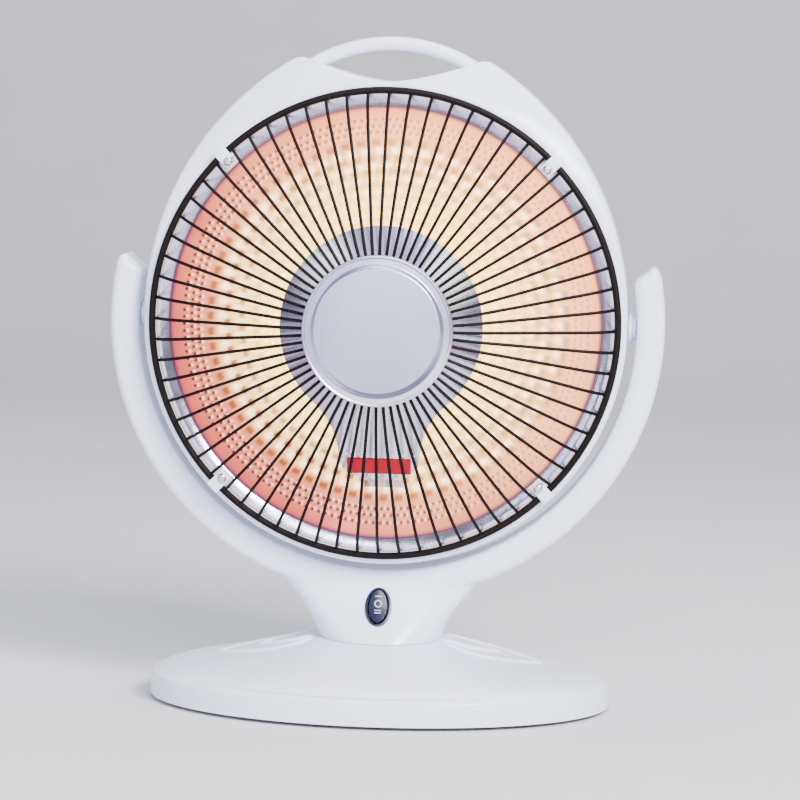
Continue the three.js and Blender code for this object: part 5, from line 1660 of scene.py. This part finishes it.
    def handle(self) -> Piece:
        """The carrying handle: an oval section spun through the arc.

        Returns:
            The handle.
        """
        sweep = math.radians(self.bar_sweep)
        Bench.clear()
        bpy.ops.mesh.primitive_circle_add(
            vertices=40, radius=1, location=(0, 0, 0), rotation=(0, math.pi / 2, 0),
        )
        obj = Bench.named("carry_bar")
        bpy.ops.object.transform_apply(location=True, rotation=True, scale=True)
        for vertex in obj.data.vertices:
            y, z = (
                math.copysign(abs(share) ** 0.85, share) * half
                for share, half in zip((vertex.co.y, vertex.co.z), self.bar_half)
            )
            vertex.co = (0, y, z)
        bpy.ops.object.mode_set(mode="EDIT")
        bpy.ops.mesh.select_all(action="SELECT")
        bpy.ops.transform.translate(value=(0, 0, self.bar_arc))
        bpy.ops.object.mode_set(mode="OBJECT")
        obj.matrix_world = Matrix.Rotation(-sweep, 4, "Y")
        bpy.ops.object.transform_apply(location=True, rotation=True, scale=True)
        bpy.ops.object.mode_set(mode="EDIT")
        bpy.ops.mesh.select_all(action="SELECT")
        bpy.ops.mesh.edge_face_add()
        bpy.ops.mesh.spin(steps=64, angle=2 * sweep, center=(0, 0, 0), axis=(0, -1, 0))
        bpy.ops.object.mode_set(mode="OBJECT")
        Bench.weld(obj, closed=True)
        return Bench.settle(obj, (0, -2.5, self.bar_centre))

    def washer(self, side: int) -> Piece:
        """The pivot pin on one side with its two washer faces.

        Args:
            side: 1 for the right, -1 for the left.

        Returns:
            The pin with its washer.
        """
        low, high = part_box("pivot_pin_right")
        inside, outside = low.x / MM, high.x / MM
        profile = [
            (0, inside), (8, inside), (8, inside + 2.5), (4.5, inside + 2.5), (4.5, 155.5), (9.9, 155.5),
            (10.5, 156.0), (10.5, 157.6), (9.9, 158.1), (8.0, 158.2), (7.9, 160.2), (7.5, 160.4),
            (4.5, 160.4),
            (4.5, outside - 2.5), (7, outside - 2.5), (7, outside), (0, outside),
        ]
        pin = Bench.settle(Bench.turned("hub", profile, 64), axis=Axis.ACROSS)
        return pin if side > 0 else Bench.turned_to(pin, 180)

    def build(self) -> None:
        """Build and hand over the head's shells."""
        kit = self.finishes
        for piece, node in (
            (self.front_housing(), "front_housing"), (self.back_housing(), "rear_housing"),
            (self.handle(), "carry_handle"),
        ):
            Bench.hand_over(piece, Body.HEAD, Slot.WHITE, kit.white, [node], self.axis)
        for side, word in ((1, "right"), (-1, "left")):
            pin = self.washer(side)
            pin.name = pin.data.name = f"hub_washer_{word}"
            Bench.hand_over(pin, Body.HEAD, Slot.WHITE, kit.white, [f"pivot_pin_{word}"], self.axis)


# ---------------------------------------------------------------- reflector and element
@dataclass
class Reflector:
    """The dish with its embossing, and the element and shield in front of it."""

    finishes: Finishes
    axis: float = 250.0
    edge_y: float = -27.2
    depth: float = 72.0
    radius: float = 139.0
    hole: float = 20.0
    flange: float = 150.4
    flange_y: float = -30.2
    band_start: float = 118.4
    dimples: int = 72
    dimple_rows: tuple[float, ...] = (113.2, 103.2, 94.6, 86.2, 78.4, 70.8, 63.5, 56.5)
    dots: int = 180
    dot_rows: tuple[float, ...] = (130.0, 125.7, 121.8)
    lip: float = 136.6
    cone_back: float = 39.0
    cone_length: float = 62.0
    cone_radii: tuple[float, float] = (19.0, 13.0)
    stem_slope: float = 13.0 / 41.7

    def bowl(self, radius: np.ndarray) -> np.ndarray:
        """Depth of the smooth bowl at a radius."""
        return self.edge_y + self.depth * (1 - (radius / self.radius) ** 2)

    def dimple(self, radius: np.ndarray, angle: np.ndarray) -> np.ndarray:
        """Height share of the large dimples.

        Args:
            radius: Distance from the middle.
            angle: Angle from the +X side.

        Returns:
            Share of their full height, from 0 to 1.
        """
        total = np.zeros_like(radius)
        for number, row in enumerate(self.dimple_rows):
            width = 4.6 * row / 110.0 + 0.6
            off = np.clip(np.abs(radius - row) / width, 0, 1)
            phase = angle * self.dimples + (math.pi if number % 2 else 0.0)
            round_it = np.clip(0.5 + 0.75 * np.cos(phase), 0, 1)
            total = np.maximum(total, np.cos(off * math.pi / 2) ** 1.4 * round_it)
        return total

    def dot(self, radius: np.ndarray, angle: np.ndarray) -> np.ndarray:
        """Height share of the small dots.

        Args:
            radius: Distance from the middle.
            angle: Angle from the +X side.

        Returns:
            Share of their full height, from 0 to 1.
        """
        total = np.zeros_like(radius)
        pitch = 2 * math.pi / self.dots
        for number, row in enumerate(self.dot_rows):
            shifted = angle / pitch + (0.5 if number % 2 else 0.0)
            side = (shifted - np.round(shifted)) * pitch * row
            gone = np.hypot(side, radius - row) / 1.45
            total = np.maximum(total, np.clip(1 - gone ** 2, 0, 1))
        return total

    def dimple_shading_mask(self, x: np.ndarray, z: np.ndarray, shift: float) -> np.ndarray:
        """Mask of the large dimples, moved outwards by a shift, for the painted shade and highlight on them.

        Args:
            x: Place across.
            z: Height from the middle.
            shift: How far the mask moves outwards.

        Returns:
            The mask, from 0 to 1.
        """
        radius, angle = np.hypot(x, z), np.arctan2(z, x)
        total = np.zeros_like(radius)
        for number, row in enumerate(self.dimple_rows):
            long = np.exp(-(np.abs(radius - row - shift) / (2.35 * row / 110)) ** 3)
            phase = np.cos(angle * self.dimples + (math.pi if number % 2 else 0.0))
            total = np.maximum(total, long * np.clip((phase + 0.45) / 0.6, 0, 1))
        return total

    def sheet(self, name: str, outer: float, inner: float, sides: int, rings: int) -> Piece:
        """A stretch of the dish's bright face with its embossing and the masks of painted shade and highlight
        that go with it.

        Args:
            name: Name of the piece.
            outer: Outer radius.
            inner: Inner radius.
            sides: Steps round.
            rings: Steps inwards.

        Returns:
            The sheet, facing forwards.
        """
        def surface(u: np.ndarray, v: np.ndarray) -> np.ndarray:
            """Places of the rows and columns of the sheet.

            Args:
                u: Share of the way round.
                v: Share of the rows, from the first to the last.

            Returns:
                The places, in millimetres.
            """
            angle, radius = 2 * math.pi * u, outer + (inner - outer) * v
            rise = 0.9 * self.dimple(radius, angle) + 0.55 * self.dot(radius, angle)
            depth = self.bowl(radius) - rise
            return np.stack([radius * np.cos(angle), depth, radius * np.sin(angle)], -1)

        sheet = Bench.face(Bench.drawn(name, sides, rings, surface), Vector((0, 900, 0)))
        place = np.empty(len(sheet.data.vertices) * 3)
        sheet.data.vertices.foreach_get("co", place)
        x, z = place[0::3], place[2::3]
        # Painted shade to the left of each dot and a painted highlight to its right, then painted shade and a
        # painted highlight on the large dimples.
        dot_shade_mask = self.dot(np.hypot(x + 0.35, z), np.arctan2(z, x + 0.35))
        glint = self.dot(np.hypot(x - 1.2, z - 0.2), np.arctan2(z - 0.2, x - 1.2))
        for mask, values in (
            ("dimple_shading_mask", self.dimple_shading_mask(x, z, 2.0)), ("dimple_highlight_mask", self.dimple_shading_mask(x - 2.4, z, -3.2)),
            ("dot_shade_mask", np.clip(dot_shade_mask * 1.5, 0, 1)), ("glint", np.clip(glint * 1.4, 0, 1)),
        ):
            layer = sheet.data.attributes.new(mask, "FLOAT", "POINT")
            layer.data.foreach_set("value", values.astype(np.float32))
        return sheet

    def rim(self) -> Piece:
        """The flange and the step to the bowl.

        Returns:
            The flange.
        """
        depth = float(self.bowl(self.lip))
        profile = [
            (self.flange, self.flange_y), (145.8, self.flange_y), (144.0, -30.0), (139.6, -27.6),
            (self.radius, self.edge_y), (self.lip, depth), (self.lip, depth + 1.4),
            (139.8, -25.9), (145.0, -28.8), (self.flange, -29.0),
        ]
        return Bench.settle(Bench.turned("dish_rim", profile, 240, closed=True), axis=Axis.BACK)

    def back(self) -> Piece:
        """The plain back of the bowl.

        Returns:
            The back.
        """
        radii = np.linspace(self.lip, self.hole, 22)
        outside = [(r, float(self.bowl(r)) + 1.4) for r in radii]
        inside = [(r, float(self.bowl(r)) + 2.2) for r in radii[::-1]]
        bowl = Bench.turned("dish_back", [*outside, *inside], 120, closed=True)
        return Bench.settle(bowl, axis=Axis.BACK)

    def cone(self, ahead: float) -> float:
        """Radius of the ceramic cone at a distance ahead of its back."""
        wide, narrow = self.cone_radii
        return wide + (narrow - wide) * ahead / self.cone_length

    def former(self) -> Piece:
        """The ceramic cone that the wire is wound on, with its collars and winding groove.

        Returns:
            The cone.
        """
        back, seat = self.cone_back, self.cone
        profile = [(0, back), (18, back), (seat(1) + 4.0, back - 0.8), (seat(1) + 4.5, back - 1.4)]
        profile += [
            (seat(4) + 4.5, back - 3.6), (seat(4) + 4.0, back - 4.0), (seat(4) + 0.2, back - 4.2),
        ]
        for ahead in np.linspace(6, 57, 52):
            profile.append((seat(ahead) - 0.35 + 0.35 * math.cos(ahead * 2.1), back - ahead))
        profile += [
            (seat(59), back - 59), (seat(59) + 4.2, back - 59.2), (seat(60) + 4.3, back - 60.4),
            (seat(62) + 3.2, back - 62), (10, back - 63), (6.5, back - 64), (0, back - 64),
        ]
        return Bench.settle(Bench.turned("element_cone", profile, 72), axis=Axis.BACK)

    def coil(self) -> Piece:
        """The wound wire: six loops that climb the cone and turn in to the collars.

        Returns:
            The wire.
        """
        loops, steps, first, last = 6, 56, 12.8, 50.2
        points = []
        for i in range(loops * steps + 1):
            share = i / (loops * steps)
            ahead, angle = first + (last - first) * share, 2 * math.pi * loops * share
            radius = self.cone(ahead) + 1.9
            place = (radius * math.cos(angle), self.cone_back - ahead, radius * math.sin(angle))
            points.append(Vector(place))

        def lead(before: Vector, end: Vector, toward: float) -> list[Vector]:
            """Quarter bend and straight end of the wire.

            Args:
                before: Point of the wire beside its end.
                end: End of the wire.
                toward: 1 to turn backwards, -1 to turn forwards.

            Returns:
                Points of the bend and of the straight end.
            """
            along = (end - before) * Vector((1, 0, 1))
            along.normalize()
            bend = [
                end + along * 2.4 * math.sin(a) + Vector((0, toward * 2.4 * (1 - math.cos(a)), 0))
                for a in np.linspace(0, math.pi / 2, 7)[1:]
            ]
            return [*bend, bend[-1] + Vector((0, toward * 6.0, 0))]

        path = [*reversed(lead(points[1], points[0], 1.0)), *points, *lead(points[-2], points[-1], -1.0)]
        return Bench.tube("wound_wire", path, 1.6, 12)

    def stem_line(self, z: np.ndarray) -> np.ndarray:
        """Depth of the shield's sheet at a height from the axis, with a soft bend above the stem."""
        front, bend, soft = -59.0, -53.3, 2.5
        return front + self.stem_slope * soft * np.logaddexp(0, (bend - z) / soft)

    def shield(self) -> Piece:
        """The keyhole shield: a disc, a waisted stem and a leg turned back to the dish.

        Returns:
            The shield.
        """
        radius, half, fillet, end, leg = 64.3, 26.0, 46.0, 96.0, 13.0
        away = radius + fillet
        drop = math.sqrt(away ** 2 - (half + fillet) ** 2)
        on_disc = math.atan2(-drop, half + fillet)
        right = [(radius * math.cos(a), radius * math.sin(a)) for a in np.linspace(math.pi / 2, on_disc, 72)]
        right += [
            (half + fillet + fillet * math.cos(a), -drop + fillet * math.sin(a))
            for a in np.linspace(math.pi + on_disc, math.pi, 14)[1:]
        ]
        corner = half - leg
        right += [
            (half - corner + corner * math.cos(a), -end + corner + corner * math.sin(a))
            for a in np.linspace(0, -math.pi / 2, 14)
        ]
        points = right + [(-x, z) for x, z in reversed(right[1:])]
        Bench.clear()
        bpy.ops.mesh.primitive_circle_add(
            vertices=len(points), radius=radius, fill_type="NGON", location=(0, 0, 0),
        )
        sheet = Bench.named("heat_shield")
        for vertex, (x, z) in zip(sheet.data.vertices, points):
            vertex.co = (x, 0, z)
        bpy.ops.object.mode_set(mode="EDIT")
        for height in np.linspace(-44, -94, 26):
            bpy.ops.mesh.select_all(action="SELECT")
            bpy.ops.mesh.bisect(plane_co=(0, 0, height), plane_no=(0, 0, 1))
        bpy.ops.object.mode_set(mode="OBJECT")
        for vertex in sheet.data.vertices:
            vertex.co.y = float(self.stem_line(np.array(vertex.co.z)))
        self.turn_back(sheet, -end, leg)
        Bench.weld(sheet, closed=False)
        Bench.face(sheet, Vector((0, 500, 0)))
        Bench.modify(sheet, "SOLIDIFY", thickness=1.2, offset=0)
        return Bench.modify(
            sheet, "BEVEL", width=0.3, segments=2, limit_method="ANGLE", angle_limit=math.radians(60),
        )

    def turn_back(self, sheet: Piece, end: float, leg: float) -> None:
        """Extrude the stem's lower edge back to the dish and along it.

        Args:
            sheet: The shield's sheet.
            end: Height of the stem's lower edge.
            leg: Half width of the leg.
        """
        Bench.hold(sheet)
        bpy.ops.object.mode_set(mode="EDIT")
        Bench.pick(sheet, lambda index, co: co.z < end + 0.05 and abs(co.x) < leg + 0.05)
        here = (float(self.stem_line(np.array(end))), end)
        near, far = (float(self.bowl(math.hypot(z, leg))) - 1.1 for z in (-100.0, -109.0))
        for y, z in (
            (here[0] + 0.9, -98.0), (here[0] + 3.0, -99.2), (near - 2.5, -99.8), (near, -100.6),
            (far, -109.0),
        ):
            bpy.ops.mesh.extrude_region_move(TRANSFORM_OT_translate={"value": (0, y - here[0], z - here[1])})
            here = (y, z)
        bpy.ops.object.mode_set(mode="OBJECT")

    def band(self) -> Piece:
        """The red band across the foot of the stem.

        Returns:
            The band.
        """
        band = Bench.box("red_band", (-20.5, -0.45, -5.0), (20.5, 0.45, 5.0), 0.35)
        middle = Bench.middle("shield_band")
        return Bench.settle(band, (0, middle.y, middle.z - self.axis), math.atan(self.stem_slope))

    def build(self) -> None:
        """Build and hand over the reflector, element and shield."""
        kit = self.finishes
        dish = "reflector_dish"
        for piece, slot, finish, node in (
            (self.sheet("dish_bowl", self.band_start, self.hole, 720, 88), Slot.DISH, kit.dish, dish),
            (self.sheet("dish_dots", 136.7, self.band_start, 1440, 40), Slot.DISH, kit.dish, dish),
            (self.rim(), Slot.DISH, kit.dish, dish),
            (self.back(), Slot.DISH, kit.dull, dish),
            (self.former(), Slot.CERAMIC, kit.ceramic, "element_former"),
            (self.coil(), Slot.WIRE, kit.wire, "heating_coil"),
            (self.shield(), Slot.CHROME, kit.chrome, "element_shield"),
            (self.band(), Slot.RED, kit.red, "shield_band"),
        ):
            Bench.hand_over(piece, Body.HEAD, slot, finish, [node], self.axis)
        dress("element_socket", kit.ceramic)


# ---------------------------------------------------------------- guard
@dataclass
class Guard:
    """The wire guard, the disc in its middle and the four clamps that hold it."""

    finishes: Finishes
    axis: float = 250.0
    wires: int = 68
    wire_radius: float = 1.15
    ring_radius: float = 149.0
    ring_y: float = -35.4
    ring_half: float = 2.25
    hub_radius: float = 38.0
    hub_y: float = -85.2
    bend: float = 9.0
    disc_radius: float = 47.3
    disc_front: float = -95.1
    disc_back: float = -86.1

    def wire_line(self) -> list[tuple[float, float, float]]:
        """Centre line of one wire: flat under the disc, a long slope, and a curved kink to the ring.

        Returns:
            Points of the line on the +X side.
        """
        corners = [
            (self.hub_radius, self.hub_y), (60.0, -82.6), (136.5, -49.6),
            (self.ring_radius - 0.6, self.ring_y),
        ]
        line = [corners[0]]
        for corner in zip(corners, corners[1:], corners[2:]):
            a, c, b = (np.array(point) for point in corner)
            start, stop = (c + (end - c) / np.linalg.norm(end - c) * self.bend for end in (a, b))
            for t in np.linspace(0, 1, 7):
                line.append(tuple((1 - t) ** 2 * start + 2 * t * (1 - t) * c + t ** 2 * stop))
        line.append(corners[-1])
        return [(r, y, 0.0) for r, y in line]

    def cage(self) -> Piece:
        """The guard: one wire modelled once and copied round, with its outer and inner rings.

        Returns:
            The guard as one piece.
        """
        wire = Bench.tube("wire", self.wire_line(), self.wire_radius, 8)
        pitch = 2 * math.pi / self.wires
        turns = [Matrix.Rotation(pitch * i, 4, "Y") for i in range(1, self.wires)]
        parts = [wire, *(Bench.copied(wire, turn) for turn in turns)]
        for radius, y, half, sides in (
            (self.ring_radius, self.ring_y, self.ring_half, 240), (self.hub_radius, self.hub_y, 1.5, 120),
        ):
            section = [
                (radius + half * math.cos(a), y + half * math.sin(a))
                for a in np.linspace(0, 2 * math.pi, 17)[:-1]
            ]
            ring = Bench.turned("ring", section, sides, closed=True)
            parts.append(Bench.settle(ring, axis=Axis.BACK))
        return Bench.joined("wire_guard", parts)

    def disc(self) -> Piece:
        """The centre disc: a plateau, a hollow bevel round it and a rolled rim.

        Returns:
            The disc.
        """
        front, back, rim = self.disc_front, self.disc_back, self.disc_radius
        profile = [
            (0, front), (38.9, front), (39.5, front + 0.15), (39.9, front + 0.5), (41.3, front + 2.4),
            (41.7, front + 2.7), (42.2, front + 2.8), (45.1, front + 3.3), (45.4, front + 3.0),
            (45.7, front + 2.5), (46.2, front + 2.25), (46.7, front + 2.4), (47.1, front + 2.9),
            (rim, front + 3.6), (rim, back - 0.3), (rim - 0.3, back), (rim - 1.0, back),
            (rim - 1.3, back - 0.4), (rim - 1.3, front + 4.4), (43, front + 4.2), (40, front + 1.3),
            (0, front + 1.3),
        ]
        return Bench.settle(Bench.turned("centre_plate", profile, 180), axis=Axis.BACK)

    def clamp(self) -> Piece:
        """One clamp on the +X side: a tab over the ring with a foot inside it.

        Returns:
            The clamp.
        """
        tab = Bench.box("tab", (140.4, -39.5, -4.3), (153.4, -37.7, 4.3), 0.7)
        foot = Bench.box("foot", (140.4, -38.2, -4.1), (146.4, -33.35, 4.1), 0.6)
        return Bench.joined("clamp", [tab, foot])

    def screw(self) -> Piece:
        """One clamp screw on the +X side with a crossed recess.

        Returns:
            The screw.
        """
        profile = [
            (0, -41.7), (1.7, -41.65), (2.5, -41.2), (2.95, -40.4), (3.0, -39.85), (1.5, -39.85),
            (1.5, -26), (0, -26),
        ]
        screw = Bench.settle(Bench.turned("screw", profile, 32), axis=Axis.BACK)
        for long, wide in ((1.7, 0.3), (0.3, 1.7)):
            Bench.cut(screw, Bench.box("bit", (-long, -43, -wide), (long, -40.7, wide), 0.05))
        return Bench.settle(screw, (143.4, 0, 0))

    def build(self) -> None:
        """Build and hand over the guard."""
        kit = self.finishes
        Bench.hand_over(self.cage(), Body.HEAD, Slot.GUARD, kit.black, ["guard"], self.axis)
        Bench.hand_over(self.disc(), Body.HEAD, Slot.DISC, kit.disc, ["centre_disc"], self.axis)
        clamp, screw = self.clamp(), self.screw()
        for number, quarter in enumerate(QUARTERS, 1):
            for master, name, slot, finish, node in (
                (clamp, "clamp_tab", Slot.WHITE, kit.white, "guard_clip"),
                (screw, "clamp_screw", Slot.SCREW, kit.screw, "clip_screw"),
            ):
                copy = Bench.copied(master, Matrix.Rotation(-math.radians(quarter), 4, "Y"))
                copy.name = copy.data.name = f"{name}_{number}"
                Bench.hand_over(copy, Body.HEAD, slot, finish, [f"{node}_{number}"], self.axis)
        for master in (clamp, screw):
            bpy.data.objects.remove(master)


# ---------------------------------------------------------------- studio
@dataclass
class Studio:
    """Floor, light and camera."""

    azimuth: float = 4.0
    elevation: float = 5.75
    distance: float = 2.194
    lens: float = 151.97
    roll: float = 1.42
    target: tuple[float, float, float] = (0.00899, 0.0, 0.19845)

    def camera(self) -> None:
        """Set the camera at the photograph's viewing angle."""
        az, el, roll = (math.radians(v) for v in (self.azimuth, self.elevation, self.roll))
        away = Vector((math.sin(az) * math.cos(el), -math.cos(az) * math.cos(el), math.sin(el)))
        right = Vector((math.cos(az), math.sin(az), 0))
        up = right.cross(-away)
        side = math.cos(roll) * right + math.sin(roll) * up
        top = math.cos(roll) * up - math.sin(roll) * right
        data = bpy.data.cameras.new("view")
        data.lens, data.sensor_width, data.clip_end = self.lens, 36.0, 50.0
        camera = bpy.data.objects.new("view", data)
        bpy.context.scene.collection.objects.link(camera)
        turn = Matrix((side, top, away)).transposed().to_4x4()
        camera.matrix_world = Matrix.Translation(Vector(self.target) + away * self.distance) @ turn
        bpy.context.scene.camera = camera

    def floor(self) -> None:
        """Lay a pale floor that sweeps up behind."""
        def surface(u: np.ndarray, v: np.ndarray) -> np.ndarray:
            """Places of the rows and columns of the sheet.

            Args:
                u: Share of the way round.
                v: Share of the rows, from the first to the last.

            Returns:
                The places, in millimetres.
            """
            run = v * 9.0
            bend = np.clip((run - 5.0) / 2.0, 0, 1) * math.pi / 2
            y = np.minimum(run, 5.0) - 3.0 + 1.27 * np.sin(bend)
            z = 1.27 * (1 - np.cos(bend)) + np.maximum(run - 7.0, 0) * 1.5
            return np.stack([(u - 0.5) * 12.0, y, z], -1)

        sweep = Bench.face(Bench.drawn("studio_floor", 8, 90, surface), Vector((0, 0, -400)))
        Bench.hold(sweep)
        bpy.ops.object.shade_smooth()
        paper = Finish("studio_paper", (0.66, 0.66, 0.68), (0.64, 0.64, 0.67), (0.7, 0.85), 300.0, 0.02)
        sweep.data.materials.append(paper.make())

    @staticmethod
    def light(
        name: str, place: Sequence[float], size: float, power: float, tint: Sequence[float],
    ) -> None:
        """Hang one soft panel that looks at the heater.

        Args:
            name: Name of the panel.
            place: Where it hangs, in metres.
            size: How wide it is.
            power: Its power, in watts.
            tint: Its colour.
        """
        data = bpy.data.lights.new(name, "AREA")
        data.shape, data.size, data.energy, data.color = "DISK", size, power, tint
        lamp = bpy.data.objects.new(name, data)
        bpy.context.scene.collection.objects.link(lamp)
        look = Vector((0, 0, 0.22)) - Vector(place)
        turn = look.to_track_quat("-Z", "Y").to_matrix().to_4x4()
        lamp.matrix_world = Matrix.Translation(Vector(place)) @ turn

    def build(self) -> None:
        """Build the studio."""
        self.camera()
        self.floor()
        self.light("key", (1.5, -2.0, 1.9), 1.2, 210.0, (1.0, 0.99, 0.97))
        self.light("front", (-0.2, -3.3, 0.6), 2.4, 40.0, (0.96, 0.97, 1.0))
        self.light("high", (0.4, -3.0, 2.2), 1.4, 60.0, (0.98, 0.98, 1.0))
        self.light("fill", (-1.9, -1.7, 1.2), 1.8, 34.0, (0.80, 0.84, 1.0))
        self.light("top", (0.0, 0.3, 2.4), 1.6, 45.0, (0.97, 0.98, 1.0))
        world = bpy.data.worlds.new("studio")
        world.use_nodes = True
        sky = world.node_tree.nodes["Background"]
        sky.inputs["Color"].default_value = (0.88, 0.90, 1.0, 1)
        sky.inputs["Strength"].default_value = 0.3
        bpy.context.scene.world = world


def main() -> None:
    """Build the heater's looks, piece by piece."""
    logging.basicConfig(level=logging.INFO, format="%(name)s %(message)s")
    Studio().build()
    finishes = Finishes()
    Foot(finishes).build()
    yoke = Yoke(finishes)
    yoke.build()
    Switch(finishes, yoke.switch_lean(), yoke.switch_place()).build()
    HeadShell(finishes).build()
    Reflector(finishes).build()
    Guard(finishes).build()
    Bench.clear()


if __name__ == "__main__":
    main()
